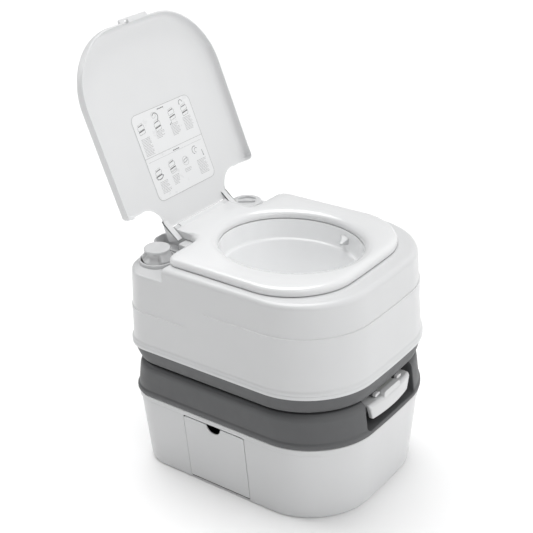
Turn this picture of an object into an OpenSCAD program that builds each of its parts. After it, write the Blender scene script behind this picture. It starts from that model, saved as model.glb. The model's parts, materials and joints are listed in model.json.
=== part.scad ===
// Portable camp toilet: a flush tank with bowl, seat and lid that lifts off a waste tank.
// +Z up, front towards -Y, origin on the floor in the middle of the base. Millimetres.

/* [Body] */
// Half width at the widest point, the lip round the flush tank
lip_half_w = 185; // [180:1:188]
// Depth from the middle of the body to the front corners at the lip
lip_front = 208; // [203:1:211]
// Depth from the middle of the body to the back at the lip
lip_rear = 204; // [200:1:207]
// How far the middle of the front bows out past its corners
front_bow = 9; // [4:1:12]
// Wall thickness of the moulded shells
wall = 3; // [2.4:0.2:3.4]

/* [Heights] */
// Height of the white lower shell of the waste tank
base_h = 144.5; // [143:0.5:146]
// Height of the waste tank
waste_h = 207.5; // [206.5:0.5:208]
// Underside of the flush tank
skirt_z = 211; // [210.5:0.5:212]
// Joint between the grey tank base and the white flush tank shell
lip_z = 240.6; // [238:0.2:244]
// Top of the deck that the seat lies on
deck_z = 399.5; // [399:0.1:400]

/* [Seat and lid] */
// Half length of the seat opening, front to back
hole_b = 124; // [118:1:126]
// Half width of the seat opening
hole_a = 107; // [100:1:109]
// Top of the seat
seat_top_z = 414; // [412:0.5:414.2]
// Angle of the open lid from its closed position
lid_open = 111.3; // [100:0.1:112]
// Height of the shared lid and seat hinge axis
hinge_z = 411; // [410.5:0.1:411.5]

/* [Pump and caps] */
// Distance of the pump and the fill cap from the middle plane
corner_x = 121; // [120:0.5:122]
// Distance of the pump and the fill cap behind the middle
corner_y = 161.5; // [160:0.5:162]
// Radius of the top of the pump knob
knob_r = 20.5; // [18:0.5:22]
// Radius of the fill cap
cap_r = 28; // [27:0.5:29]

/* [Valve] */
// Radius of the valve throat
throat_r = 48; // [44:1:49]
// Half width of the valve handle at its top
handle_half_w = 62.5; // [58:0.5:64]

/* [Hidden] */

white = "whitesmoke";
grey = "dimgray";
rubber = "darkslategray";
metal = "silver";
overlap = 0.01;
far_away = 600;
corner_steps = 6;
side_gap = 0.8;

// A profile holds one ring a row, inset from the lip's outline:
// [height, inset of the width, inset of the front, inset of the back]
base_profile = [[0, 24.5, 17.5, 5], [3, 22, 14.5, 2.5], [8, 21.3, 13.8, 1.2], [133.5, 11.4, 2.8, -1.6],
                [134, 9.8, 1.2, -3], [base_h, 9.4, 0.8, -3.2]];
top_profile = [[base_h + 0.3, 9.6, 1, -3], [148, 7.4, -1, -4.4], [154, 7.2, -1.2, -4.4], [160, 9, 1.5, -1],
               [196, 9.6, 6, 4.5], [202, 11.4, 8, 6], [206, 15.5, 12, 10], [waste_h, 22, 18, 17]];
skirt_profile = [[skirt_z, 13.5, 11, 11], [214, 10.5, 8, 8], [226, 7, 4, 4], [lip_z, 3.5, 1.5, 1.5]];
shell_profile = [[lip_z + 0.2, 2.5, 0.5, 1.5], [243, 0.6, -0.8, 0], [251.4, 0, 0, -0.2],
                 [256, 1.6, 1.4, 1.4], [388, 8.4, 9, 6.5], [394, 9.8, 10.4, 7.6],
                 [398, 13.5, 14, 11], [deck_z, 19, 19.5, 16.5]];
front_corner_r = 118;
rear_corner_r = 52;

bowl_y = -20;
throat_y = -10;
outlet_z = skirt_z + 3.3;
housing_z = 191;
housing_top = waste_h - wall - 0.2;
blade_z = 197;
blade_t = 3;
blade_half_w = 57;
blade_rear = throat_y + throat_r + 5;
blade_front = throat_y - throat_r - 4;
arm_half_w = 22;
throat_wall = 8;
screw_r = 1.7;
screw_end = 202;
screw_places = [for (x = [-63, 63]) for (y = [-120, -62, 42]) [x, y]];
seal_r0 = throat_r + 0.3;
seal_r1 = throat_r + 3.7;

recess_half_w = 72;
recess_y = -182;
recess_z = 153;
handle_y = -216;
handle_z = 166;
handle_top = 195;
plate_t = 4;
tongue_w = 25;
peg_x = 33;
peg_z = 200.5;
bracket_half_w = 7;
bracket_y = -201.5;
foot_x = 110;
foot_y = 130;
foot_r = 9;

door_y0 = -41;
door_y1 = 85;
door_z0 = 4.5;
door_z1 = 133;
door_t = 2.4;
cheek = 5;
stub_pin_r = 2;
door_axis_z = 9.2;
door_axis_x = 159.6;
door_barrel_r = 4.2;
thumb_r = 14.5;
pocket_x = 128;
door_lean = atan((21.3 - 11.4) / (133.5 - 8));

hinge_y = 167.5;
pin_r = 2.5;
running = 0.06;
ear_x0 = 57;
ear_x1 = 70;
ear_r = 6;
knuckle_r = 5.5;
pin_x0 = 32;
knuckle_half_w = ear_x0 - 0.6;
leg_x0 = 71.5;
leg_x1 = 84;
leg_rear = 183.5;
seat_z = 400.5;
seat_w = 160.5;
seat_f = 168.5;
seat_bow = 5;
lobe_y = 113;
tongue_half_w = 70.5;
tongue_y = 160;
lid_w = 164;
lid_f = 172;
lid_rear = 117.5;
lid_edge_z = 401.5;
lid_inner_z = 415.2;
lid_step = 1.2;
lid_rim_t = 2.5;
lid_top_z = 418;
lid_tongue_w = 82;
lid_tongue_y = 161.5;

platform_z = 377;
platform_x = 89;
platform_y = 106;
step_r = 34;
collar_r = 31.4;
cup_r = 28;
cup_z = 355;
knob_z = 381;
knob_top = 402;
barrel_r = 14;
barrel_z = 239;
piston_z = 266;
foot_hole_r = 5;
rod_r = 4;
cap_top = 397;
neck_r = 21.5;

spout_x = 135;
spout_y = 168;
spout_z = 180;
spout_r = 15;
spout_end = 54.8;
spout_bore_r = 12.5;
cap_end = 49;
spout_cap_r = 19;
stub_r = 16;
spout_recess_x = 42;
spout_recess_y = 146;
spout_recess_z = 158;

latch_y = 203.5;
latch_z = 164;
latch_half_w = 25;
latch_released = 25;
latch_len = 55.5;
latch_recess_x = 32;
latch_recess_y = 194;
latch_recess_z = 154;
latch_cheek_x = 28;
catch_z = 212;

// Corner points of a body outline: an arc round each corner, and a bow along the front
function arc(cx, cy, r, a0, a1) =
    [for (i = [0:corner_steps])
        let (a = a0 + (a1 - a0) * i / corner_steps)
        [cx + r * cos(a), cy + r * sin(a)]];
function bowed(points, w, f, bow) =
    [for (q = points) [q.x, q.y - bow * (1 - pow(q.x / w, 2)) * pow(max(0, -q.y / f), 2)]];
function front_line(w, f, r) = [for (i = [1:4]) [(w - r) * (i / 2.5 - 1), -f]];
function outline(w, f, b, rf, rb, bow) =
    bowed(concat(arc(w - rb, b - rb, rb, 0, 90), arc(-w + rb, b - rb, rb, 90, 180),
                 arc(-w + rf, -f + rf, rf, 180, 270), front_line(w, f, rf),
                 arc(w - rf, -f + rf, rf, 270, 360)),
          w, f, bow);
function body_ring(row, inset = 0) =
    let (w = lip_half_w - row[1] - inset, f = lip_front - row[2] - inset, b = lip_rear - row[3] - inset,
         rf = front_corner_r - row[1] / 2 - inset, rb = rear_corner_r - inset)
    [for (q = outline(w, f, b, rf, rb, front_bow)) [q.x, q.y, row[0]]];
function ellipse_ring(z, a, b, y, n = 40) =
    [for (i = [0:n - 1]) [a * cos(360 * i / n), y + b * sin(360 * i / n), z]];

// Skin over a stack of rings that all have the same number of points
module loft(rings) {
    n = len(rings[0]);
    m = len(rings);
    points = [for (ring = rings) for (p = ring) p];
    sides = [for (k = [0:m - 2]) for (i = [0:n - 1])
                [k * n + i, (k + 1) * n + i, (k + 1) * n + (i + 1) % n, k * n + (i + 1) % n]];
    polyhedron(points, concat([[for (i = [0:n - 1]) i]], sides, [[for (i = [0:n - 1]) m * n - 1 - i]]));
}
module ellipse_plug(z0, z1, a, b) loft([for (z = [z0, z1]) ellipse_ring(z, a, b, bowl_y)]);
module body_solid(profile, inset = 0) loft([for (row = profile) body_ring(row, inset)]);
// Thin shell: closed below when the cavity is shifted up, closed above when it is shifted down
module body_shell(profile, shift) difference() {
    body_solid(profile);
    translate([0, 0, shift]) body_solid(profile, wall);
}

module box(x0, x1, y0, y1, z0, z1) translate([x0, y0, z0]) cube([x1 - x0, y1 - y0, z1 - z0]);
module tube(r0, r1, z0, z1, n = 64) difference() {
    translate([0, 0, z0]) cylinder(r = r1, h = z1 - z0, $fn = n);
    translate([0, 0, z0 - 1]) cylinder(r = r0, h = z1 - z0 + 2, $fn = n);
}
module rod(r, z0, z1, n = 48) translate([0, 0, z0]) cylinder(r = r, h = z1 - z0, $fn = n);
module x_rod(r, x0, x1, n = 32)
    translate([x0, 0, 0]) rotate([0, 90, 0]) cylinder(r = r, h = x1 - x0, $fn = n);
module y_rod(r, y0, y1, n = 32)
    translate([0, y0, 0]) rotate([-90, 0, 0]) cylinder(r = r, h = y1 - y0, $fn = n);
module both_sides() {
    children();
    mirror([1, 0, 0]) children();
}

// ---- Waste tank ----
module door_space() box(-far_away, -pocket_x - wall, door_y0, door_y1, door_z0, door_z1);
module door_pocket_block()
    box(-far_away, -pocket_x, door_y0 - cheek, door_y1 + cheek, door_z0 - wall, door_z1 + wall - 1);
module door_axis() translate([-door_axis_x, 0, door_axis_z]) children();

module waste_tank_base() color(white) difference() {
    union() {
        body_shell(base_profile, wall);
        both_sides() intersection() {
            body_solid(base_profile);
            door_pocket_block();
        }
    }
    both_sides() door_space();
    both_sides() door_axis() y_rod(stub_pin_r + running, door_y0 - 3.2, door_y1 + 3.2);
}

// Door leaf built upright at its hinge axis, then leaned outwards to follow the side of the tank
module side_door_left() color(white) door_axis() difference() {
    union() {
        rotate([0, -door_lean, 0]) {
            box(-door_barrel_r, -door_barrel_r + door_t, door_y0 + side_gap, door_y1 - side_gap,
                0, door_z1 - door_axis_z - 1.2);
            y_rod(door_barrel_r, door_y0 + side_gap, door_y1 - side_gap);
        }
        y_rod(stub_pin_r, door_y0 - 3, door_y1 + 3);
    }
    rotate([0, -door_lean, 0]) translate([-20, (door_y0 + door_y1) / 2, door_z1 - door_axis_z - 1])
        x_rod(thumb_r, 0, 30, 48);
}
module side_door_right() mirror([1, 0, 0]) side_door_left();

module spout_recess(grow = 0)
    box(spout_recess_x - grow, far_away, spout_recess_y - grow, far_away, spout_recess_z - grow, far_away);
module front_recess(grow = 0)
    box(-recess_half_w - grow, recess_half_w + grow, -far_away, recess_y + grow, recess_z - grow, far_away);
module latch_recess(grow = 0)
    box(-latch_recess_x - grow, latch_recess_x + grow, latch_recess_y - grow, far_away,
        latch_recess_z - grow, far_away);
// Cheek on the right of the latch, which holds one end of its pin
module latch_cheek(y0, y1, z0) box(latch_cheek_x, latch_recess_x, y0, y1, z0, latch_z + 8);

module waste_tank_top() color(grey) difference() {
    union() {
        body_shell(top_profile, -wall);
        intersection() {
            body_solid(top_profile);
            union() {
                front_recess(wall);
                spout_recess(wall);
                latch_recess(wall);
            }
        }
    }
    front_recess();
    spout_recess();
    difference() {
        latch_recess();
        both_sides() latch_cheek(latch_recess_y - 4, latch_recess_y + 14, latch_recess_z - 4);
    }
    translate([0, throat_y, 0]) rod(throat_r + throat_wall + 0.3, housing_z - 1, waste_h + 1, 96);
    box(-arm_half_w - 2, arm_half_w + 2, recess_y - 2, recess_y + wall + 2,
        blade_z - 1, blade_z + blade_t + 1);
    translate([spout_x, spout_y, 0])
        rod(stub_r + running, spout_recess_z - wall - 1, spout_recess_z + 1, 64);
    for (q = screw_places) translate([q.x, q.y, 0]) rod(2, waste_h - wall - 1, waste_h + 1, 24);
    translate([0, latch_y, latch_z]) x_rod(pin_r, -33, 33);
}

module valve_housing() color(grey) difference() {
    union() {
        box(-68, 68, recess_y + wall + 1, 50, housing_z, housing_top);
        translate([0, throat_y, 0]) rod(throat_r + throat_wall, housing_z, waste_h + 3, 96);
    }
    translate([0, throat_y, 0]) rod(throat_r, housing_z - 1, waste_h + 4, 96);
    box(-blade_half_w - 1, blade_half_w + 1, recess_y - 1, blade_rear + 2,
        blade_z - 0.8, blade_z + blade_t + 0.8);
    translate([0, throat_y, 0]) tube(throat_r - 1, throat_r + 4, blade_z - 3, blade_z + blade_t + 3, 96);
    for (q = screw_places) translate([q.x, q.y, 0]) rod(screw_r, screw_end - 0.5, housing_top + 1, 24);
}

module valve_blade() color("gainsboro") {
    box(-blade_half_w, blade_half_w, blade_front, blade_rear, blade_z, blade_z + blade_t);
    box(-arm_half_w, arm_half_w, handle_y + plate_t, blade_front + 1, blade_z, blade_z + blade_t);
}

// White pull bar: a bowed front plate, a top web and a raised tongue clipped over the blade's arm
module handle_front_shape()
    polygon(let (w = handle_half_w, h = handle_top - handle_z + 1, t = tongue_w)
        [[9 - w, 0], [w - 9, 0], [w, h], [t, h], [t - 2, 40], [2 - t, 40], [-t, h], [-w, h]]);
module handle_plan_shape()
    polygon(concat([for (i = [-8:8]) [handle_half_w * i / 8, handle_y + pow(i / 8, 2) * 5]],
                   [[handle_half_w, handle_y + 12], [-handle_half_w, handle_y + 12]]));
module valve_handle() color(white) difference() {
    intersection() {
        union() {
            translate([0, 0, handle_z]) linear_extrude(handle_top - handle_z) handle_plan_shape();
            box(-handle_half_w, handle_half_w, handle_y + 6, recess_y - 4, handle_top - 4, handle_top);
            box(-tongue_w, tongue_w, handle_y + 1, handle_y + 14, handle_top - 1, blade_z + blade_t + 2.5);
        }
        translate([0, -100, handle_z - 1]) rotate([90, 0, 0]) linear_extrude(far_away) handle_front_shape();
    }
    box(5 - handle_half_w, handle_half_w - 5, handle_y + 9, recess_y, handle_z - 1, handle_top - 4);
    box(-arm_half_w - overlap, arm_half_w + overlap, handle_y + plate_t - overlap, recess_y,
        blade_z - overlap, blade_z + blade_t + overlap);
}

module valve_seal_upper() color(rubber) translate([0, throat_y, 0])
    tube(seal_r0, seal_r1, blade_z + blade_t + 0.2, blade_z + blade_t + 3, 96);
module valve_seal_lower() color(rubber) translate([0, throat_y, 0])
    tube(seal_r0, seal_r1, blade_z - 3, blade_z - 0.2, 96);
module valve_screws() color(metal) for (q = screw_places) translate([q.x, q.y, 0]) {
    rod(screw_r, screw_end, waste_h, 24);
    rod(2 * screw_r, waste_h, waste_h + 1.8, 24);
}
module tank_seal() color(rubber) translate([0, throat_y, 0])
    tube(throat_r + 1, throat_r + throat_wall, waste_h + 3, outlet_z - 0.3, 96);

// Pour-out elbow, stored along the back in its corner recess, and swung out to pour
module spout() color(grey) translate([spout_x, spout_y, 0]) difference() {
    union() {
        rod(stub_r, spout_recess_z - wall - 3.3, spout_z, 64);
        rod(19, spout_recess_z - wall - 3.3, spout_recess_z - wall - 0.3, 64);
        rod(19.5, spout_recess_z + 3, spout_recess_z + 6, 64);
        translate([0, 0, spout_z]) {
            sphere(r = stub_r, $fn = 64);
            x_rod(spout_r, spout_end - spout_x, 0, 64);
        }
    }
    rod(spout_bore_r, spout_recess_z - 10, spout_z, 64);
    translate([0, 0, spout_z]) {
        sphere(r = spout_bore_r, $fn = 64);
        x_rod(spout_bore_r, spout_end - spout_x - 1, 0, 64);
    }
}
module spout_oring() color(rubber) translate([spout_x, spout_y, 0])
    tube(stub_r + 0.3, 19, spout_recess_z + 0.1, spout_recess_z + 2.8, 64);
module at_spout_end() translate([0, spout_y, spout_z]) children();
module spout_cap() color(grey) at_spout_end() difference() {
    x_rod(spout_cap_r, cap_end, cap_end + 17, 64);
    x_rod(spout_r + 0.3, cap_end + 3.5, cap_end + 18, 64);
    for (a = [0:30:359]) rotate([a, 0, 0]) translate([0, spout_cap_r + 0.6, 0])
        x_rod(1.4, cap_end - 1, cap_end + 18, 16);
}
module spout_cap_gasket() color(rubber) at_spout_end() difference() {
    x_rod(spout_r, cap_end + 3.6, spout_end - 0.3, 64);
    x_rod(spout_bore_r - 1.5, cap_end + 3, spout_end, 64);
}

// Latch lever, drawn locked and upright, then tipped back about its pin
module at_latch() translate([0, latch_y, latch_z]) children();
module rear_latch() color(white) at_latch() rotate([-latch_released, 0, 0]) difference() {
    union() {
        x_rod(5, -latch_half_w, latch_half_w, 48);
        box(-latch_half_w, latch_half_w, 1.5, 5, 0, latch_len);
        box(5 - latch_half_w, latch_half_w - 5, -3, 2, latch_len - 2.8, latch_len);
        box(-latch_half_w, latch_half_w, 4, 9, 38, 41);
    }
    x_rod(pin_r + running, -30, 30);
}
module latch_pin() color(metal) at_latch() x_rod(pin_r, 1 - latch_recess_x, latch_recess_x - 1);

// ---- Flush tank ----
module flush_tank_base() color(grey) difference() {
    union() {
        body_shell(skirt_profile, wall);
        both_sides() box(peg_x - bracket_half_w, peg_x + bracket_half_w, bracket_y, bracket_y + 14,
                         peg_z - 4, skirt_z + 2);
        box(-20, 20, 190, latch_y - 0.5, catch_z, catch_z + 4);
        both_sides() for (y = [-foot_y, foot_y]) translate([foot_x, y, 0])
            rod(foot_r, waste_h + 0.2, skirt_z + 1, 32);
    }
    translate([0, throat_y, 0]) rod(throat_r + throat_wall + 6, skirt_z - 1, skirt_z + wall + 1, 96);
}

module platform_space(grow = 0) difference() {
    box(platform_x - grow, far_away, platform_y - grow, far_away, platform_z - grow, far_away);
    difference() {
        box(platform_x - grow - 1, platform_x + step_r, platform_y - grow - 1, platform_y + step_r,
            platform_z - grow - 1, far_away);
        translate([platform_x + step_r, platform_y + step_r, 0]) rod(step_r + grow, 0, far_away, 64);
    }
}
// Pocket that the lid's leg turns in, open on its outer side above the platform
module leg_pocket(grow = 0)
    box(ear_x1 + 0.5 - grow, platform_x + 1, hinge_y - 24.5 - grow, hinge_y + 24 + grow,
        hinge_z - 27 - grow, deck_z + 1);
module at_hinge() translate([0, hinge_y, hinge_z]) children();
module at_pump() translate([-corner_x, corner_y, 0]) children();
module at_filler() translate([corner_x, corner_y, 0]) children();

module flush_tank_shell() color(white) {
    difference() {
        union() {
            body_shell(shell_profile, -wall);
            both_sides() intersection() {
                body_solid(shell_profile);
                union() {
                    platform_space(wall);
                    leg_pocket(wall);
                }
            }
        }
        both_sides() platform_space();
        both_sides() leg_pocket();
        ellipse_plug(350, 410, hole_a + 3, hole_b + 4);
        at_pump() rod(cup_r + 2.5, 340, 390, 64);
        at_filler() rod(neck_r, 340, 390, 64);
    }
    both_sides() difference() {
        union() {
            box(ear_x0, ear_x1, hinge_y - ear_r, hinge_y + ear_r, deck_z - 1, hinge_z);
            at_hinge() x_rod(ear_r, ear_x0, ear_x1, 48);
        }
        at_hinge() x_rod(pin_r, ear_x0 - 1, ear_x1 + 1);
    }
}

// Rings of the bowl's inside: [height, half width, half length, y of the middle]
bowl_rings = [[214.3, throat_r, throat_r, throat_y], [240, throat_r + 2, throat_r + 4, throat_y],
              [255, 58, 64, -12], [290, 76, 88, -16], [330, 92, 108, -19], [363, 98, 116, bowl_y],
              [366, 103, 121, bowl_y], [deck_z - 0.2, hole_a - 1, hole_b, bowl_y]];
// Skin through those rings, grown outwards, with its first, middle and last rings shifted in height
module bowl_solid(grow, first, middle, last)
    loft(let (n = len(bowl_rings) - 1)
         [for (k = [0:n])
             let (q = bowl_rings[k], shift = k == 0 ? first : k == n ? last : middle)
             ellipse_ring(q[0] + shift, q[1] + grow, q[2] + grow, q[3])]);
module bowl() color(white) difference() {
    bowl_solid(wall, 0, -2, 0);
    bowl_solid(0, -1, 0, 1);
    nozzle_place() x_rod(5.2, -6, 16);
}

module front_pegs() color(white) both_sides() translate([peg_x, 0, peg_z])
    hull() for (x = [-4, 4]) translate([x, 0, 0]) y_rod(3, bracket_y - 5.5, bracket_y);

nozzle = [101, -62, 384];
module nozzle_place() translate(nozzle) children();
module flush_nozzle() color(white) nozzle_place() {
    x_rod(5, 0, 18);
    hull() {
        translate([-3, -9, -8]) cube([4, 18, 14]);
        translate([-17, -3, -5]) cube([2, 5, 3]);
    }
}

// Hose inside the flush tank, from the pump barrel to the nozzle
hose_points = [[-101, 161.5, 260], [-85, 164, 262], [-55, 168, 275], [-10, 165, 300], [40, 150, 330],
               [85, 120, 350], [118, 80, 362], [135, 35, 372], [139, -10, 380], [136, -40, 384],
               [128, -58, 384], [119.5, -62, 384]];
function unit(v) = v / norm(v);
function hose_ring(k, r) =
    let (n = len(hose_points), a = hose_points[max(0, k - 1)], b = hose_points[min(n - 1, k + 1)],
         along = k == 0 || k == n - 1 ? [1, 0, 0] * (k == 0 ? 1 : -1) : unit(b - a),
         side = unit(cross(along, [0, 0, 1])), up = cross(side, along))
    [for (i = [0:7]) hose_points[k] + r * (cos(45 * i) * side + sin(45 * i) * up)];
module pump_hose() color("lightgray") loft([for (k = [len(hose_points) - 1:-1:0]) hose_ring(k, 5)]);

module pump_collar() color(white) at_pump() difference() {
    union() {
        rotate_extrude($fn = 96)
            polygon([[0, platform_z], [collar_r, platform_z], [collar_r, 380], [collar_r - 0.8, 382],
                     [collar_r - 2, 383], [0, 383]]);
        rod(cup_r + 2.3, cup_z - wall, platform_z + 1, 96);
    }
    rod(cup_r, cup_z, 384, 96);
    rod(rod_r + running, cup_z - 4, cup_z + 1, 32);
}
module pump_knob() color(white) at_pump() rotate_extrude($fn = 96)
    polygon([[0, knob_top - 2.5], [knob_r - 6, knob_top - 2.5], [knob_r - 5, 394], [cup_r - 4.5, knob_z],
             [cup_r - 1, knob_z], [cup_r - 1, 384], [knob_r + 3.5, 388], [knob_r - 2, 395],
             [knob_r - 2, 397.5], [knob_r, 398.5], [knob_r, knob_top - 1.5],
             [knob_r - 1.5, knob_top], [0, knob_top]]);
module pump_rod() color(metal) at_pump() rod(rod_r, piston_z + 6, knob_top - 2.5, 32);
module pump_piston() color(rubber) at_pump() rod(barrel_r - running, piston_z, piston_z + 6, 64);
module pump_spring() color(metal) at_pump() tube(8, 11, cup_z + 0.2, knob_top - 3, 48);
module pump_barrel() color("gainsboro") at_pump() difference() {
    union() {
        rod(barrel_r + 2.5, barrel_z - 3, cup_z - wall, 64);
        translate([0, 0, hose_points[0].z]) x_rod(4.5, 10, 20, 32);
    }
    rod(barrel_r, barrel_z, cup_z, 64);
    rod(foot_hole_r, barrel_z - 4, barrel_z + 1, 32);
}
module foot_valve() color(rubber) at_pump() {
    rod(foot_hole_r - 0.2, barrel_z - 9, barrel_z + 0.2, 32);
    rod(9, barrel_z - 11, barrel_z - 3.2, 32);
}

module filler_neck() color(white) at_filler() {
    tube(17.5, neck_r - 0.1, 345, 388, 64);
    tube(neck_r - 0.5, 24, platform_z + 0.1, platform_z + 1.6, 64);
}
module fill_cap_gasket() color(rubber) at_filler() tube(17.6, neck_r - 0.2, 388, 389.8, 64);
module fill_cap() color(white) at_filler() difference() {
    rotate_extrude($fn = 96)
        polygon([[0, 379.5], [cap_r, 379.5], [cap_r, cap_top - 4], [cap_r - 3, cap_top - 1],
                 [cap_r - 9, cap_top], [0, cap_top]]);
    rod(neck_r + 0.6, 379, 390.2, 64);
    for (a = [0:30:359]) rotate([0, 0, a]) translate([cap_r + 0.9, 0, 0]) rod(1.8, 379, 392, 24);
}

// ---- Seat and lid ----
// Left half of the seat's outline, inset by t: its front corner, and its rear with lobe, notch and tongue
function seat_corner(t) =
    let (r = 104.5)
    [for (i = [0:corner_steps])
        let (a = 180 + 90 * i / corner_steps)
        [-seat_w + r + (r - t) * cos(a), -seat_f + r + (r - t) * sin(a)]];
function seat_rear(t) =
    [[-tongue_half_w + t, tongue_y - t], [-tongue_half_w + t, 140], [-tongue_half_w - 4 + t, 127],
     [-tongue_half_w - 12, 118 - t], [-tongue_half_w - 24, lobe_y - t], [-seat_w + 26, lobe_y - t],
     [-seat_w + 10 + t / 2, lobe_y - 7 - t / 2], [-seat_w + 2 + t, lobe_y - 19]];
function mirrored(half) = concat(half, [for (i = [len(half) - 1:-1:0]) [-half[i].x, half[i].y]]);
function seat_outline(t) = bowed(mirrored(concat(seat_rear(t), seat_corner(t))), seat_w, seat_f, seat_bow);
module seat_slab(z0, z1, t) translate([0, 0, z0]) linear_extrude(z1 - z0) polygon(seat_outline(t));
module seat_hole(z0, z1, t)
    ellipse_plug(z0, z1, hole_a + t, hole_b + t);

module seat() color(white) difference() {
    union() {
        difference() {
            union() {
                seat_slab(seat_z, 407, 0);
                seat_slab(407 - overlap, 411, 2);
                seat_slab(411 - overlap, seat_top_z, 7);
            }
            seat_slab(seat_z - 1, 407, 4);
            seat_slab(407 - overlap, seat_top_z - wall, 10);
        }
        intersection() {
            seat_hole(seat_z, seat_top_z, wall);
            seat_slab(seat_z, seat_top_z - overlap, 2);
        }
        box(-knuckle_half_w, knuckle_half_w, 140, hinge_y - 5, seat_z, seat_top_z - 2);
        box(-knuckle_half_w, knuckle_half_w, hinge_y - 6, hinge_y, hinge_z - knuckle_r, hinge_z);
        at_hinge() x_rod(knuckle_r, -knuckle_half_w, knuckle_half_w, 48);
    }
    seat_hole(seat_z - 1, seat_top_z + 1, 0);
    seat_hole(seat_top_z - 2.5, seat_top_z + 1, 3);
    both_sides() at_hinge() x_rod(pin_r + running, pin_x0 - 2, ear_x0 + 2);
}
seat_pads = [for (x = [-125, 125]) for (y = [-80, 85]) [x, y]];
module seat_bumpers() color(rubber) for (q = seat_pads) translate([q.x, q.y, 0])
    rod(7, deck_z + 0.2, seat_top_z - wall, 32);
module hinge_pins() color(metal) both_sides() at_hinge() x_rod(pin_r, pin_x0, leg_x1 - 0.5);

// The lid's outline, inset by t, in its closed position
function lid_corner(t) =
    let (r = 108)
    [for (i = [0:corner_steps])
        let (a = 180 + 90 * i / corner_steps)
        [-lid_w + r + (r - t) * cos(a), -lid_f + r + (r - t) * sin(a)]];
function lid_rear_half(t) =
    [[-lid_tongue_w + t, lid_tongue_y - t], [-lid_tongue_w + t, 148], [-lid_tongue_w - 4 + t, 136],
     [-lid_tongue_w - 12 + t / 2, 126 - t / 2], [-lid_tongue_w - 24, 120 - t], [-118, lid_rear - t],
     [-lid_w + 8, lid_rear - t], [-lid_w + 2 + t / 2, lid_rear - 3 - t / 2], [-lid_w + t, lid_rear - 9]];
function lid_outline(t) = bowed(mirrored(concat(lid_rear_half(t), lid_corner(t))), lid_w, lid_f, seat_bow);
module lid_slab(z0, z1, t) translate([0, 0, z0]) linear_extrude(z1 - z0) polygon(lid_outline(t));
module opened() at_hinge() rotate([-lid_open, 0, 0]) translate([0, -hinge_y, -hinge_z]) children();

module lid() color(white) opened() difference() {
    union() {
        lid_slab(lid_inner_z, 415.6, lid_step);
        lid_slab(415.6 - overlap, lid_top_z, 4);
        both_sides() intersection() {
            box(leg_x0, leg_x1, 140, leg_rear, 394, lid_top_z);
            translate([leg_x0, 0, 0]) rotate([90, 0, 90]) linear_extrude(leg_x1 - leg_x0)
                polygon([[149, lid_top_z], [149, lid_inner_z], [158, 411], [161.8, 408], [leg_rear, 395],
                         [leg_rear, lid_top_z]]);
        }
    }
    both_sides() at_hinge() x_rod(pin_r + running, leg_x0 - 1, leg_x1 + 1);
}
// The lid's turned-down rim with its front finger tab, open at the back between the rear lobes
module lid_rim() color(white) opened() difference() {
    union() {
        lid_slab(lid_edge_z, 412, 0);
        lid_slab(412 - overlap, lid_inner_z, lid_step);
        box(-30, 30, -lid_f - seat_bow - 8, -lid_f - seat_bow + 2, lid_edge_z, lid_edge_z + 5);
    }
    lid_slab(lid_edge_z - 1, lid_inner_z + 1, lid_rim_t);
    box(-118, 118, 100, 200, lid_edge_z - 1, lid_inner_z + 1);
    box(-25, -19, -lid_f - seat_bow - 3, -lid_f + 4, lid_edge_z - 1, lid_edge_z + 7);
}
module lid_label() color("gainsboro") opened() translate([0, 43, lid_inner_z - 0.5]) linear_extrude(0.5)
    hull() for (x = [-61.5, 61.5]) for (y = [-62.5, 62.5]) translate([x, y]) circle(r = 12, $fn = 32);

waste_tank_base();
waste_tank_top();
side_door_left();
side_door_right();
valve_housing();
valve_blade();
valve_handle();
valve_seal_upper();
valve_seal_lower();
valve_screws();
tank_seal();
spout();
spout_oring();
spout_cap();
spout_cap_gasket();
rear_latch();
latch_pin();
flush_tank_base();
flush_tank_shell();
bowl();
front_pegs();
flush_nozzle();
pump_hose();
pump_collar();
pump_knob();
pump_rod();
pump_piston();
pump_spring();
pump_barrel();
foot_valve();
filler_neck();
fill_cap_gasket();
fill_cap();
seat();
seat_bumpers();
hinge_pins();
lid();
lid_rim();
lid_label();
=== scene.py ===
"""Portable camp toilet: the visual model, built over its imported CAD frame.

Shapes are worked out in millimetres and turned into metres when a mesh is made.
+Z is up and the front faces -Y, as in the CAD model.
"""

import json
from math import cos, pi, radians, sin

import bmesh
import bpy
import numpy as np
from mathutils import Matrix, Vector


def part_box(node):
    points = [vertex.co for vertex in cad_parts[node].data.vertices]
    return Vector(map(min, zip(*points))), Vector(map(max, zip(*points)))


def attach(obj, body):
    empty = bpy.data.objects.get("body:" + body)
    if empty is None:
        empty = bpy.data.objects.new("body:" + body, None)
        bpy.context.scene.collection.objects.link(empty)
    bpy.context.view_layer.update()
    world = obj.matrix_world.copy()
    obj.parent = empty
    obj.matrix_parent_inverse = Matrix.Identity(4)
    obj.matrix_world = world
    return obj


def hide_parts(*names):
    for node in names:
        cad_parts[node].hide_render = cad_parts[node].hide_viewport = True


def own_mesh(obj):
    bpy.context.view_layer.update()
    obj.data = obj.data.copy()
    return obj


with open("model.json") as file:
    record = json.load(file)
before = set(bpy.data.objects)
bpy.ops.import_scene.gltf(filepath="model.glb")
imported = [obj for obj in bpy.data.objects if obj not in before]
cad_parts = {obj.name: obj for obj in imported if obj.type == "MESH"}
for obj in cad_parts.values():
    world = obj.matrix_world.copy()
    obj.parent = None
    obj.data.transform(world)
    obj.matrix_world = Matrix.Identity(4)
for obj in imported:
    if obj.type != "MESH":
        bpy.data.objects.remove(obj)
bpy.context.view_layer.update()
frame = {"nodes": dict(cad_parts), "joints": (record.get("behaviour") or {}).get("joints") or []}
MM = 0.001


def box_mm(node):
    """Lowest and highest corner of a CAD node, in millimetres."""
    lo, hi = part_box(node)
    return lo / MM, hi / MM


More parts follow.
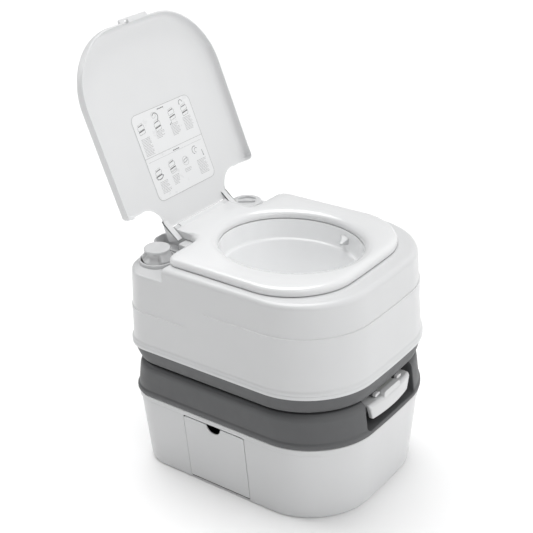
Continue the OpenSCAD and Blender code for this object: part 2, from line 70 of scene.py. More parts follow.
def joint_mm(name):
    """A joint's place in millimetres."""
    joint = next(j for j in frame["joints"] if j["name"] == name)
    return Vector(joint["pos_m"]) / MM


# ---------------------------------------------------------------- curves

def smoothstep(x):
    x = np.clip(x, 0.0, 1.0)
    return x * x * (3.0 - 2.0 * x)


def arc(cx, cy, r, a0, a1, n):
    """n points on a circle, from angle a0 to a1 in degrees."""
    a = np.radians(np.linspace(a0, a1, n))
    return np.column_stack([cx + r * np.cos(a), cy + r * np.sin(a)])


def soften(points, cut, steps=5, closed=False):
    """Points with each corner swapped for a short curve that starts and ends a cut length away."""
    p = np.asarray(points, float)
    cuts = np.broadcast_to(cut, len(p))
    out = []
    for i in range(len(p)):
        if not closed and i in (0, len(p) - 1):
            out.append(p[i])
            continue
        before, after = p[i - 1] - p[i], p[(i + 1) % len(p)] - p[i]
        reach = min(cuts[i], 0.45 * np.linalg.norm(before), 0.45 * np.linalg.norm(after))
        if reach < 1e-6:
            out.append(p[i])
            continue
        a = p[i] + before / np.linalg.norm(before) * reach
        b = p[i] + after / np.linalg.norm(after) * reach
        for t in np.linspace(0.0, 1.0, steps):
            out.append((1 - t) ** 2 * a + 2 * t * (1 - t) * p[i] + t * t * b)
    return np.array(out)


def shares(points):
    """How far along the line each point lies, from 0 to 1."""
    s = np.r_[0.0, np.cumsum(np.linalg.norm(np.diff(points, axis=0), axis=1))]
    return s / s[-1]


def resample(points, where):
    """Points at the given shares of a line's length."""
    s = shares(points)
    return np.column_stack([np.interp(where, s, points[:, k]) for k in range(points.shape[1])])


def inset(outline, d):
    """A closed anticlockwise outline moved inwards by d, which may vary along it."""
    along = np.roll(outline, -1, axis=0) - np.roll(outline, 1, axis=0)
    along /= np.linalg.norm(along, axis=1)[:, None]
    return outline + np.column_stack([-along[:, 1], along[:, 0]]) * np.reshape(d, (-1, 1))


def mirrored(half):
    """Closed outline from its right half, which runs from the front middle to the rear middle."""
    flip = np.ones(half.shape[1])
    flip[0] = -1.0
    return np.vstack([half, half[-2:0:-1] * flip])


def bowed(points, half_width, depth, bow):
    """Points in front of the middle, pushed forwards most at x = 0."""
    push = bow * (1 - (points[:, 0] / half_width) ** 2) * np.maximum(0.0, -points[:, 1] / depth) ** 2
    return np.column_stack([points[:, 0], points[:, 1] - push])


def flat(outline, z):
    """A ring of 3-D points from an outline, with one height or a height for each point."""
    return np.column_stack([outline, np.broadcast_to(z, len(outline))])


def stack(outline, levels):
    """Rings from one outline: levels are (height, inset)."""
    return [flat(inset(outline, d), z) for z, d in levels]


def round_box(x0, x1, y0, y1, r):
    """Closed outline of a rectangle with rounded corners."""
    return np.vstack([arc(x1 - r, y0 + r, r, -90, 0, 8), arc(x1 - r, y1 - r, r, 0, 90, 8),
                      arc(x0 + r, y1 - r, r, 90, 180, 8), arc(x0 + r, y0 + r, r, 180, 270, 8)])


def circle(cx, cy, r, n=96):
    return arc(cx, cy, r, 0, 360 - 360 / n, n)


def turned(profile, cx, cy, n=128, shape=None):
    """Rings round a vertical axis. profile is (radius, height), and shape may change the radius."""
    a = np.arange(n) * 2 * pi / n
    rings = []
    for r, z in profile:
        radius = np.full(n, float(r)) if shape is None else shape(a, r, z)
        rings.append(np.column_stack([cx + radius * np.cos(a), cy + radius * np.sin(a), np.full(n, z)]))
    return rings


# ---------------------------------------------------------------- meshes

ALONG_X = Matrix(((0, 0, 1, 0), (1, 0, 0, 0), (0, 1, 0, 0), (0, 0, 0, 1)))  # (u, v, w) to (y, z, x)
ALONG_Y = Matrix(((0, 1, 0, 0), (0, 0, 1, 0), (1, 0, 0, 0), (0, 0, 0, 1)))  # (u, v, w) to (z, x, y)
MIRROR_X = Matrix.Diagonal((-1, 1, 1, 1))


def mesh_object(name, verts, faces, place=None):
    """A new object from points in millimetres, cleaned of doubled points and empty faces."""
    mesh = bpy.data.meshes.new(name)
    mesh.from_pydata((np.asarray(verts, float) * MM).tolist(), [], faces)
    bm = bmesh.new()
    bm.from_mesh(mesh)
    if place is not None:
        place = place.copy()
        place.translation *= MM
        bmesh.ops.transform(bm, matrix=place, verts=bm.verts)
        if place.determinant() < 0:
            bmesh.ops.reverse_faces(bm, faces=bm.faces)
    bmesh.ops.remove_doubles(bm, verts=bm.verts, dist=2e-6)
    bmesh.ops.dissolve_degenerate(bm, dist=1e-6, edges=bm.edges)
    bm.to_mesh(mesh)
    bm.free()
    obj = bpy.data.objects.new(name, mesh)
    bpy.context.scene.collection.objects.link(obj)
    return obj


def loft(name, rings, loop=False, place=None):
    """Closed mesh over rings of equal count. A loop joins its last ring to its first; otherwise both ends are filled."""
    rings = [np.asarray(ring, float) for ring in rings]
    count, n = len(rings), len(rings[0])
    faces = []
    for k in range(count if loop else count - 1):
        a, b = k * n, ((k + 1) % count) * n
        faces += [(a + i, a + (i + 1) % n, b + (i + 1) % n, b + i) for i in range(n)]
    if not loop:
        faces.append(tuple(range(n - 1, -1, -1)))
        faces.append(tuple(range((count - 1) * n, count * n)))
    return mesh_object(name, np.vstack(rings), faces, place)


def combine(target, others, operation):
    """target with the other objects joined on, cut away or kept in common. The others are used up."""
    for other in others:
        modifier = target.modifiers.new("combine", "BOOLEAN")
        modifier.object = other
        modifier.operation = operation
        modifier.solver = "MANIFOLD"
    bpy.context.view_layer.update()
    depsgraph = bpy.context.evaluated_depsgraph_get()
    mesh = bpy.data.meshes.new_from_object(target.evaluated_get(depsgraph))
    target.modifiers.clear()
    old, target.data = target.data, mesh
    bpy.data.meshes.remove(old)
    for other in others:
        old = other.data
        bpy.data.objects.remove(other)
        bpy.data.meshes.remove(old)
    if not len(mesh.polygons):
        raise RuntimeError(f"{target.name} is empty after {operation}")
    return target


def unite(target, *others):
    return combine(target, others, "UNION")


def cut(target, *others):
    return combine(target, others, "DIFFERENCE")


def keep_common(target, *others):
    return combine(target, others, "INTERSECT")


def merged(name, objects):
    """One object holding several separate closed meshes."""
    bm = bmesh.new()
    for obj in objects:
        bm.from_mesh(obj.data)
    mesh = bpy.data.meshes.new(name)
    bm.to_mesh(mesh)
    bm.free()
    for obj in objects:
        old = obj.data
        bpy.data.objects.remove(obj)
        bpy.data.meshes.remove(old)
    obj = bpy.data.objects.new(name, mesh)
    bpy.context.scene.collection.objects.link(obj)
    return obj


def rod(name, axis, centre, r, t0, t1, soft=0.4, n=64):
    """A round bar along X, Y or Z with softened ends."""
    place = {"x": ALONG_X, "y": ALONG_Y, "z": Matrix.Identity(4)}[axis]
    rings = turned([(r - soft, t0), (r - 0.3 * soft, t0 + 0.3 * soft), (r, t0 + soft),
                    (r, t1 - soft), (r - 0.3 * soft, t1 - 0.3 * soft), (r - soft, t1)], 0, 0, n)
    return loft(name, rings, place=Matrix.Translation(centre) @ place)


def slab(name, outline, z0, z1, soft=0.8, place=None):
    """A plate with softened edges: its outline, and its two heights."""
    levels = [(z0, soft), (z0 + 0.3 * soft, 0.3 * soft), (z0 + soft, 0),
              (z1 - soft, 0), (z1 - 0.3 * soft, 0.3 * soft), (z1, soft)]
    return loft(name, stack(outline, levels), place=place)


def flare(name, outline, floor, top, r=1.5, out=6.0, soft=1.0, place=None):
    """Cutter for a pocket: a softened floor, straight walls, and a rounded edge where it meets the top."""
    levels = [(floor, soft), (floor + 0.3 * soft, 0.3 * soft), (floor + soft, 0)]
    for a in np.radians(np.linspace(0, 60, 6)):
        levels.append((top - r + r * sin(a), -r * (1 - cos(a))))
    z, d = levels[-1]
    levels.append((z + out * cos(radians(60)), d - out * sin(radians(60))))
    return loft(name, stack(outline, levels), place=place)


# ---------------------------------------------------------------- materials

def plastic(name, colour, roughness, grain=900.0, depth=0.00002, mottle=0.015, coat=0.0):
    """Moulded plastic: a fine grain in the surface, uneven gloss, and slow changes of shade."""
    material = bpy.data.materials.new(name)
    material.use_nodes = True
    nodes, links = material.node_tree.nodes, material.node_tree.links
    shader = nodes["Principled BSDF"]
    place = nodes.new("ShaderNodeTexCoord")

    def noise(scale, detail):
        node = nodes.new("ShaderNodeTexNoise")
        node.inputs["Scale"].default_value = scale
        node.inputs["Detail"].default_value = detail
        links.new(place.outputs["Object"], node.inputs["Vector"])
        return node.outputs["Fac"]

    def spread(value, low, high):
        node = nodes.new("ShaderNodeMapRange")
        node.inputs["From Min"].default_value = 0.3
        node.inputs["From Max"].default_value = 0.7
        node.inputs["To Min"].default_value = low
        node.inputs["To Max"].default_value = high
        links.new(value, node.inputs["Value"])
        return node.outputs["Result"]

    shade = nodes.new("ShaderNodeMix")
    shade.data_type = "RGBA"
    shade.inputs["A"].default_value = (*[c * (1 - mottle) for c in colour], 1)
    shade.inputs["B"].default_value = (*[min(1.0, c * (1 + mottle)) for c in colour], 1)
    links.new(noise(14.0, 3.0), shade.inputs["Factor"])
    links.new(shade.outputs["Result"], shader.inputs["Base Color"])
    links.new(spread(noise(60.0, 4.0), roughness * 0.88, roughness * 1.12), shader.inputs["Roughness"])
    coarse = nodes.new("ShaderNodeBump")
    coarse.inputs["Strength"].default_value = 0.25
    coarse.inputs["Distance"].default_value = 0.0002
    links.new(noise(45.0, 1.0), coarse.inputs["Height"])
    fine = nodes.new("ShaderNodeBump")
    fine.inputs["Strength"].default_value = 0.6
    fine.inputs["Distance"].default_value = depth
    links.new(noise(grain, 2.0), fine.inputs["Height"])
    links.new(coarse.outputs["Normal"], fine.inputs["Normal"])
    links.new(fine.outputs["Normal"], shader.inputs["Normal"])
    shader.inputs["Coat Weight"].default_value = coat
    shader.inputs["Coat Roughness"].default_value = 0.12
    return material


def metal(name, colour, roughness):
    """Drawn steel: a fine grain in the surface and uneven gloss."""
    material = plastic(name, colour, roughness, 1400.0, 0.000006, 0.04)
    material.node_tree.nodes["Principled BSDF"].inputs["Metallic"].default_value = 1.0
    return material


WHITE = plastic("moulded_white", (0.615, 0.62, 0.625), 0.34, 700.0, 0.000008, coat=0.25)
LID_WHITE = plastic("lid_white", (0.69, 0.695, 0.7), 0.42, 800.0, 0.000010, coat=0.1)
SEAT_WHITE = plastic("seat_white", (0.72, 0.725, 0.73), 0.24, 500.0, 0.000006, coat=0.5)
# Painted light: the bowl's white plastic gets a lighter colour than the same plastic elsewhere, standing in for
# light inside the bowl's hollow.
BOWL_PAINTED_LIGHT_WHITE = plastic("bowl_white_painted_light", (0.9, 0.905, 0.91), 0.22, 500.0, 0.000006, coat=0.5)
GREY = plastic("grained_grey", (0.09, 0.092, 0.095), 0.50, 1500.0, 0.00005, 0.05)
NATURAL = plastic("natural_plastic", (0.62, 0.63, 0.61), 0.4, 600.0, 0.00001)
POCKET = plastic("pocket_shadow", (0.03, 0.031, 0.033), 0.7, 1200.0, 0.00003, 0.05)
FILM = plastic("label_film", (0.75, 0.755, 0.76), 0.3, 400.0, 0.000006, coat=0.2)
INK = plastic("label_ink", (0.12, 0.12, 0.125), 0.55, 2500.0, 0.000006, 0.1)
PALE_INK = plastic("label_pale_ink", (0.36, 0.36, 0.365), 0.55, 2500.0, 0.000006, 0.1)
RUBBER = plastic("rubber", (0.035, 0.035, 0.037), 0.62, 1800.0, 0.00004, 0.08)
STEEL = metal("drawn_steel", (0.62, 0.62, 0.63), 0.28)


def paint(obj, material, smooth_angle=32.0):
    """Gives an object one material and smooth shading with sharp corners."""
    obj.data.materials.clear()
    obj.data.materials.append(material)
    obj.data.shade_smooth()
    obj.data.set_sharp_from_angle(angle=radians(smooth_angle))


def piece(obj, body, material, slot, *nodes, smooth_angle=32.0):
    """Finishes a new piece: its looks, the body it rides on, and the CAD nodes it stands for."""
    paint(obj, material, smooth_angle)
    even = obj.modifiers.new("flat_faces_stay_flat", "WEIGHTED_NORMAL")
    even.mode = "FACE_AREA"
    even.weight = 80
    even.keep_sharp = True
    if nodes:
        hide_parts(*nodes)
    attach(obj, body)
    return obj


def repaint_faces(obj, material, inside):
    """Gives the faces whose middle passes the test another material."""
    obj.data.materials.append(material)
    index = len(obj.data.materials) - 1
    for face in obj.data.polygons:
        if inside(face.center / MM):
            face.material_index = index


# ---------------------------------------------------------------- the body's outline

shell_lo, shell_hi = box_mm("flush_tank_shell")
base_hi = box_mm("waste_tank_base")[1]
top_lo, top_hi = box_mm("waste_tank_top")
skirt_hi = box_mm("flush_tank_base")[1]
knob_lo, knob_hi = box_mm("pump_knob")

BOW = 9.0
LIP_W = shell_hi.x
LIP_F = -shell_lo.y - BOW - 0.8
LIP_B = shell_hi.y - 0.2
FRONT_R = 118.0
REAR_R = 52.0
WALL = 3.0

# The lowered rear corners, which hold the pump and the fill cap
PUMP = Vector(((knob_lo.x + knob_hi.x) / 2, (knob_lo.y + knob_hi.y) / 2, 0))
FILLER = Vector((-PUMP.x, PUMP.y, 0))
STEP_X, STEP_Y, STEP_R, STEP_SOFT = 89.0, 106.0, 34.0, 1.6
PLATFORM = 377.0
DECK = 399.5
HOLE_Y = -20.0
HOLE_A, HOLE_B = 107.0, 124.0


def step_line(w, b, move=0.0):
    """Foot of the step round a rear corner, from the body's side to its back, moved in by move."""
    line = np.vstack([[(w, STEP_Y - move - STEP_SOFT), (w, STEP_Y - move)],
                      arc(STEP_X + STEP_R, STEP_Y + STEP_R, STEP_R + move, 270, 180, 25),
                      [(STEP_X - move, b), (STEP_X - move - STEP_SOFT, b)]])
    soft = np.zeros(len(line))
    soft[1] = soft[-2] = STEP_SOFT
    return soften(line, soft, 6)


def corner_shares():
    """Places of the columns round a rear corner: close together where the step turns sharply."""
    line = step_line(LIP_W - 8, LIP_B - 6)
    dense = shares(line)
    out = [dense[0]]
    for share in dense[1:]:
        gap = share - out[-1]
        parts = max(1, round(gap * 60))
        out += [out[-1] + gap * (k + 1) / parts for k in range(parts)]
    return np.array(out)


CORNER = corner_shares()


def body_half(insets, inner=0.0, stepped=False, move=0.0):
    """Right half of the body's outline, from the front middle to the rear middle.

    insets are of the width, the front and the back. stepped follows the foot of the corner's step.
    """
    w, f, b = LIP_W - insets[0] - inner, LIP_F - insets[1] - inner, LIP_B - insets[2] - inner
    rf, rb = FRONT_R - insets[0] / 2 - inner, REAR_R - inner
    y_side, x_rear = STEP_Y - move - STEP_SOFT, STEP_X - move - STEP_SOFT
    if stepped:
        corner = step_line(w, b, move)
    else:
        corner = np.vstack([[(w, y_side)], arc(w - rb, b - rb, rb, 0, 90, 40), [(x_rear, b)]])
    half = np.vstack([
        np.linspace((0, -f), (w - rf, -f), 15)[:-1],
        arc(w - rf, -f + rf, rf, -90, 0, 49)[:-1],
        np.linspace((w, -f + rf), (w, y_side), 45)[:-1],
        resample(corner, CORNER)[:-1],
        np.linspace((x_rear, b), (0, b), 18)])
    return bowed(half, w, f, BOW)


def at_height(rows, z):
    """Insets at a height, from rows of (height, inset of width, of front, of back)."""
    return np.array([np.interp(z, rows[:, 0], rows[:, k]) for k in (1, 2, 3)])


def body_solid(name, rows, inner=0.0, shift=0.0):
    return loft(name, [flat(mirrored(body_half(row[1:], inner)), row[0] + shift) for row in rows])


def hollow_shell(name, rows, shift):
    """Thin shell, closed below when shift is positive and above when it is negative."""
    return cut(body_solid(name, rows), body_solid("cavity", rows, WALL, shift))


def block(x0, x1, y0, y1, z0, z1, r=2.0):
    """A plain tool for keeping part of a solid."""
    return slab("block", round_box(x0, x1, y0, y1, r), z0, z1, 0.5)


def skin_y(rows, x, z, rear=False):
    """y of the body's front or back surface at x and z."""
    half = body_half(at_height(rows, z))
    middle = len(half) // 2
    part = half[-middle:][::-1] if rear else half[:middle]
    return np.interp(abs(x), part[:, 0], part[:, 1])


def skin_x(rows, y, z):
    """x of the body's right side at y and z."""
    half = body_half(at_height(rows, z))
    part = half[(half[:, 0] > LIP_W * 0.8)]
    return np.interp(y, part[:, 1], part[:, 0])


def skin_cutter(name, outline, deep, skin, r, sign, to_xyz, out=12.0):
    """Pocket cutter that follows a curved skin: a flat floor at deep, and a rounded edge at the skin.

    outline is in the pocket's own plane, skin gives the surface for each of its points, and sign
    is the direction out of the body.
    """
    rings = [to_xyz(inset(outline, 1.2), deep), to_xyz(inset(outline, 0.4), deep + sign * 0.4),
             to_xyz(outline, deep + sign * 1.2)]
    for a in np.radians(np.linspace(0, 62, 7)):
        ring = inset(outline, -r * (1 - cos(a)))
        rings.append(to_xyz(ring, skin(ring) - sign * (r - r * sin(a))))
    ring = inset(outline, -r * (1 - cos(radians(62))) - out * sin(radians(62)))
    rings.append(to_xyz(ring, skin(ring) + sign * out * cos(radians(62))))
    return loft(name, rings)


def xz_at(points, y):
    """Points of the (x, z) plane at depth y."""
    return np.column_stack([points[:, 0], np.broadcast_to(y, len(points)), points[:, 1]])


def yz_at(points, x):
    """Points of the (y, z) plane at x."""
    return np.column_stack([np.broadcast_to(x, len(points)), points])


# ---------------------------------------------------------------- waste tank, white base

BASE_ROWS = soften([[0, 24.5, 17.5, 5], [3, 22, 14.5, 2.5], [8, 21.3, 13.8, 1.2],
                    [132.6, 11.5, 2.9, -1.5], [133.0, 12.3, 3.7, -0.7], [133.6, 12.3, 3.7, -0.7],
                    [134.2, 9.8, 1.2, -3], [143.6, 9.4, 0.8, -3.2], [base_hi.z, 10.2, 1.6, -2.4]],
                   [0, 2, 3, 0.3, 0.2, 0.2, 0.6, 0.5, 0], 5)
DOOR_Y0, DOOR_Y1, DOOR_Z0, DOOR_Z1, POCKET_X = -41.0, 85.0, 4.5, 133.0, 128.0

base = hollow_shell("white_waste_tank_base", BASE_ROWS, WALL)
for side in (-1, 1):
    solid = body_solid("pocket_block", BASE_ROWS, 1.2)
    lo_x, hi_x = sorted((side * (POCKET_X), side * 400))
    unite(base, keep_common(solid, block(lo_x, hi_x, DOOR_Y0 - 5, DOOR_Y1 + 5, DOOR_Z0 - 2.5, DOOR_Z1 + 2)))
for side in (-1, 1):
    opening = round_box(DOOR_Y0, DOOR_Y1, DOOR_Z0, DOOR_Z1, 3.0)
    if side < 0:
        opening = opening[::-1]

    def side_skin(ring, side=side):
        return side * np.array([skin_x(BASE_ROWS, y, z) for y, z in ring])

    def rim(d):
        return inset(opening, d * side)

    rings = [yz_at(rim(0), side * (POCKET_X + 3))]
    for a in np.radians(np.linspace(0, 62, 6)):
        ring = rim(-0.9 * (1 - cos(a)))
        rings.append(yz_at(ring, side_skin(ring) - side * (0.9 - 0.9 * sin(a))))
    ring = rim(-0.9 - 3.0)
    rings.append(yz_at(ring, side_skin(ring) + side * 3.0))
    cut(base, loft("door_space", rings))
piece(base, "waste_tank", WHITE, "white_plastic", "waste_tank_base")
repaint_faces(base, POCKET, lambda c: POCKET_X + 2 < abs(c.x) < 157 and DOOR_Y0 - 1 < c.y < DOOR_Y1 + 1
              and DOOR_Z0 - 0.5 < c.z < DOOR_Z1 + 0.5)

# ---------------------------------------------------------------- waste tank, grey top

TOP_ROWS = soften([[top_lo.z, 9.8, 1.2, -2.8], [147.4, 7.3, -1.1, -4.4], [153.8, 7.2, -1.2, -4.4],
                   [157.6, 9, 1.5, -1.6], [196, 9.6, 6, 4.5], [202, 11.4, 8, 6],
                   [206, 15.5, 12, 10], [top_hi.z, 22, 18, 17]], [0, 2, 2.4, 1.2, 3, 3, 2, 0], 6)
RECESS_W, RECESS_Y, RECESS_Z = 72.0, -182.0, 153.0
SPOUT_X, SPOUT_Y, SPOUT_Z = 42.0, 146.0, 158.0
LATCH_X, LATCH_Y, LATCH_Z = 32.0, 194.0, 154.0
THROAT_Y = -10.0
ABOVE = 260.0


def clipped(z):
    return np.clip(z, TOP_ROWS[0, 0], 205.5)


top = hollow_shell("grey_waste_tank_top", TOP_ROWS, -WALL)
lining = [block(-RECESS_W - 3, RECESS_W + 3, -400, RECESS_Y + 3, RECESS_Z - 3, ABOVE),
          block(SPOUT_X - 3, 400, SPOUT_Y - 3, 400, SPOUT_Z - 3, ABOVE),
          block(-LATCH_X - 3, LATCH_X + 3, LATCH_Y - 3, 400, LATCH_Z - 3, ABOVE)]
for part in lining:
    unite(top, keep_common(body_solid("lining", TOP_ROWS, 1.2), part))

recess = round_box(-RECESS_W, RECESS_W, RECESS_Z, ABOVE, 7.0)
cut(top, skin_cutter("front_recess", recess, RECESS_Y,
                     lambda p: np.array([skin_y(TOP_ROWS, x, clipped(z)) for x, z in p]), 2.2, -1, xz_at))
corner_outline = np.vstack([arc(SPOUT_X + 8, SPOUT_Y + 8, 8, 180, 270, 10),
                            [(400, SPOUT_Y), (400, 400), (SPOUT_X, 400)]])
cut(top, loft("spout_recess", stack(corner_outline, [(SPOUT_Z, 0), (ABOVE, 0)])))
latch_outline = round_box(-LATCH_X, LATCH_X, LATCH_Z, ABOVE, 5.0)[::-1]
latch_rings = [xz_at(latch_outline, LATCH_Y)]
for a in np.radians(np.linspace(0, 62, 6)):
    ring = inset(latch_outline, 1.5 * (1 - cos(a)))
    surface = np.array([skin_y(TOP_ROWS, x, clipped(z), True) for x, z in ring])
    latch_rings.append(xz_at(ring, surface - 1.5 + 1.5 * sin(a)))
ring = inset(latch_outline, 8.0)
latch_rings.append(xz_at(ring, LIP_B + 20))
cut(top, loft("latch_recess", latch_rings))
cut(top, rod("throat_hole", "z", (0, THROAT_Y, 0), 56.3, 190, 215, 0.1, 128),
    slab("arm_slot", round_box(-24, 24, RECESS_Y - 4, RECESS_Y + 6, 1.5), 196, 201, 0.3),
    rod("spout_seat", "z", (135, 168, 0), 16.06, 150, 160, 0.1),
    rod("latch_bore", "x", (0, 203.5, 164), 2.5, -33, 33, 0.1, 32))
cheeks = [slab("cheek", round_box(side * 30 - 2.2, side * 30 + 2.2, 191, 207, 1.2), 151, 172,
               0.6) for side in (-1, 1)]
unite(top, *cheeks)
piece(top, "waste_tank", GREY, "grey_plastic", "waste_tank_top")

# ---------------------------------------------------------------- flush tank, grey skirt

SKIRT_ROWS = soften([[211, 13.5, 11, 11], [214, 10.5, 8, 8], [226, 7, 4, 4],
                     [239.6, 3.6, 1.6, 1.6], [skirt_hi.z, 4.4, 2.4, 2.4]], [0, 2, 4, 0.5, 0], 6)
pegs_lo, pegs_hi = box_mm("front_pegs")
PEG_X, PEG_Z = (pegs_hi.x - 7), (pegs_lo.z + pegs_hi.z) / 2
skirt = hollow_shell("grey_flush_tank_base", SKIRT_ROWS, WALL)
cut(skirt, rod("outlet", "z", (0, THROAT_Y, 0), 62, 205, 220, 0.1, 128))
extras = [slab("bracket", round_box(side * PEG_X - 7, side * PEG_X + 7, pegs_hi.y, pegs_hi.y + 15, 2.0),
               196.5, 213, 0.8)
          for side in (-1, 1)]
extras += [rod("foot", "z", (x, y, 0), 9, 207.7, 212.5, 0.6) for x in (-110, 110) for y in (-130, 130)]
extras.append(slab("catch", round_box(-20, 20, 188, 203, 2.0), 212, 216, 0.7))
unite(skirt, *extras)
piece(skirt, "flush_tank", GREY, "grey_plastic", "flush_tank_base")

pegs = []
for side in (-1, 1):
    outline = np.vstack([arc(4, 0, 3, -90, 90, 14), arc(-4, 0, 3, 90, 270, 14)])
    levels = [(0, 0), (pegs_hi.y - pegs_lo.y - 1.4, 0), (pegs_hi.y - pegs_lo.y - 0.4, 0.35),
              (pegs_hi.y - pegs_lo.y, 1.3)]
    turn = Matrix.Translation((side * PEG_X, pegs_hi.y, PEG_Z)) @ Matrix.Rotation(pi / 2, 4, "X")
    pegs.append(loft("peg", stack(outline, levels), place=turn))
piece(merged("white_pegs", pegs), "flush_tank", WHITE, "white_plastic", "front_pegs")

# ---------------------------------------------------------------- flush tank, white shell

SHELL_ROWS = soften([[240.8, 2.2, 0.4, 1.4], [242.2, 0.5, -0.8, 0.1], [247.6, 0.1, -0.7, -0.1],
                     [248.6, 0.8, 0.1, 0.6], [249.6, 0.1, -0.4, -0.1], [252.6, 0.3, 0.2, 0.1],
                     [255.6, 2.2, 2.0, 2.0], [259, 2.5, 2.3, 2.1], [388, 8.4, 9, 6.5],
                     [391, 8.7, 9.4, 6.8]],
                    [0, 1.2, 0.5, 0.4, 0.5, 1.6, 1.4, 1.2, 1, 0], 5)
EDGE_START, EDGE_IN, EDGE_UP, STEP_EDGE = 390.0, 10.2, DECK - 390.0, 2.0
LEDGE_DEPTH = 1.3
LEDGES = [(311.0, 57.0, 1.0), (344.0, 25.0, -1.0)]  # height, where it ends, towards the back or the front


def ledge(points, z):
    """How far the wall stands out under the faint ledges moulded round it."""
    out = np.zeros(len(points))
    for height, end, side in LEDGES:
        rise = smoothstep((z - height + 34.0) / 34.0) if z < height else 1.0 - smoothstep((z - height) / 0.7)
        out += LEDGE_DEPTH * rise * smoothstep(side * (points[:, 1] - end) / 12.0)
    return out


def shell_ring(z, **how):
    """Outer ring of the shell at a height."""
    ring = mirrored(body_half(at_height(SHELL_ROWS, z), **how))
    return flat(inset(ring, -ledge(ring, z)), z)


wall_rows = sorted(set(np.round(np.r_[SHELL_ROWS[:, 0][SHELL_ROWS[:, 0] < 262], np.arange(265, 371, 6.5),
                                      [h + d for h, _,
                                       _ in LEDGES for d in (-3, -0.4, 0, 0.35, 0.7, 1.4)]], 3)))
rings = [shell_ring(z) for z in wall_rows]

insets = at_height(SHELL_ROWS, PLATFORM)
edge, foot = body_half(insets), body_half(insets, stepped=True)
gap = np.linalg.norm(foot - edge, axis=1)
across = (foot - edge) / np.maximum(gap, 1e-9)[:, None]
brim, cove = np.minimum(4.0, 0.45 * gap), np.minimum(3.0, 0.4 * gap)
for a in np.radians(np.linspace(0, 90, 7)):
    half = edge + across * (brim * (1 - cos(a)))[:, None]
    rings.append(mirrored(flat(half, PLATFORM - brim * (1 - sin(a)))))
for share in (0.2, 0.4, 0.6, 0.8):
    half = edge + across * (brim + (gap - brim - cove) * share)[:, None]
    rings.append(mirrored(flat(half, PLATFORM)))
for a in np.radians(np.linspace(0, 90, 6)):
    half = foot - across * (cove * (1 - sin(a)))[:, None]
    rings.append(mirrored(flat(half, PLATFORM + cove * (1 - cos(a)))))
for z in (382.0, 386.0):
    rings.append(mirrored(flat(body_half(at_height(SHELL_ROWS, z), stepped=True), z)))
for a in np.radians(np.r_[np.linspace(0, 56, 9), 61, 66, 70, 74, 78, 82, 86, 90]):
    z = EDGE_START + EDGE_UP * sin(a)
    lift = np.clip((z - DECK + STEP_EDGE) / STEP_EDGE, 0, 1)
    half = body_half(at_height(SHELL_ROWS, EDGE_START) + EDGE_IN * (1 - cos(a)), stepped=True,
                     move=STEP_EDGE * (1 - np.sqrt(1 - lift * lift)))
    rings.append(mirrored(flat(half, z)))
deck_edge = rings[-1][:, :2]
aim = np.arctan2((deck_edge[:, 1] - HOLE_Y) / (HOLE_B + 4), deck_edge[:, 0] / (HOLE_A + 3))
hole = np.column_stack([(HOLE_A + 3) * np.cos(aim), HOLE_Y + (HOLE_B + 4) * np.sin(aim)])
for share in (0.06, 0.2, 0.4, 0.6, 0.8, 1.0):
    rings.append(flat(deck_edge + (hole - deck_edge) * share, DECK))
rings.append(flat(hole, DECK - WALL))
under = mirrored(body_half(at_height(SHELL_ROWS, EDGE_START) + EDGE_IN, WALL, True, WALL))
rings.append(flat(under + (hole - under) * 0.5, DECK - WALL))
rings.append(flat(under, DECK - WALL))
rings.append(flat(mirrored(body_half(at_height(SHELL_ROWS, EDGE_START), WALL, True, WALL)), EDGE_START))
rings.append(flat(mirrored(body_half(insets, WALL, True, WALL)), PLATFORM - WALL))
for z in (PLATFORM - WALL, 330.0, 259.0, 250.0, shell_lo.z):
    rings.append(flat(mirrored(body_half(at_height(SHELL_ROWS, z), WALL, False, WALL)), z))
shell = loft("white_flush_tank_shell", rings, loop=True)

HINGE = joint_mm("seat_hinge")
EAR_X0, EAR_X1, LEG_X0, LEG_X1 = 57.0, 70.0, 71.5, 84.0
extras, cutters = [], []
for side in (-1, 1):
    x0, x1 = sorted((side * (EAR_X1 - 2.1), side * (STEP_X - 0.2)))
    extras.append(slab("pocket_wall", round_box(x0, x1, HINGE.y - 26, HINGE.y + 27, 2), 381, 398, 0.5))
    x0, x1 = sorted((side * (EAR_X1 + 0.5), side * (STEP_X + 6)))
    cutters.append(flare("leg_pocket", round_box(x0, x1, HINGE.y - 24.5, HINGE.y + 24, 2.5), 384, DECK,
                         1.2))
    ear = np.vstack([[(HINGE.y - 6.5, DECK - 2), (HINGE.y + 6.5, DECK - 2)],
                     arc(HINGE.y, HINGE.z, 5.4, -10, 190, 24)])
    x0, x1 = sorted((side * EAR_X0, side * EAR_X1))
    extras.append(slab("ear", ear, x0, x1, 0.9, ALONG_X))
cutters.append(flare("pump_hole", circle(PUMP.x, PUMP.y, 30.5), 340, PLATFORM, 0.6, soft=0.2))
cutters.append(flare("filler_hole", circle(FILLER.x, FILLER.y, 21.5), 340, PLATFORM, 0.6, soft=0.2))
unite(shell, *extras)
cut(shell, *cutters)
piece(shell, "flush_tank", WHITE, "white_plastic", "flush_tank_shell")

# ---------------------------------------------------------------- bowl

BOWL_RINGS = np.array([[214.3, 48, 48, -10], [228, 48.4, 48.8, -10], [240, 50, 52, -10], [255, 58, 64, -12],
                       [272, 67.5, 77, -14], [290, 76, 88, -16], [310, 85, 99, -17.8], [330, 92, 108, -19],
                       [348, 96, 113.5, -19.8], [361.5, 98.4, 116.6, -20], [364, 99.6, 117.8, -20],
                       [366, 103, 121, -20], [369, 103.8, 121.8, -20], [399.2, 106, 124, -20]])
BOWL_STEPS = [0, 4, 4, 8, 8, 8, 8, 8, 6, 1.2, 1.2, 1.2, 1.2, 0]


def ellipse(a, b, y, n=192):
    t = np.arange(n) * 2 * pi / n
    return np.column_stack([a * np.cos(t), y + b * np.sin(t)])


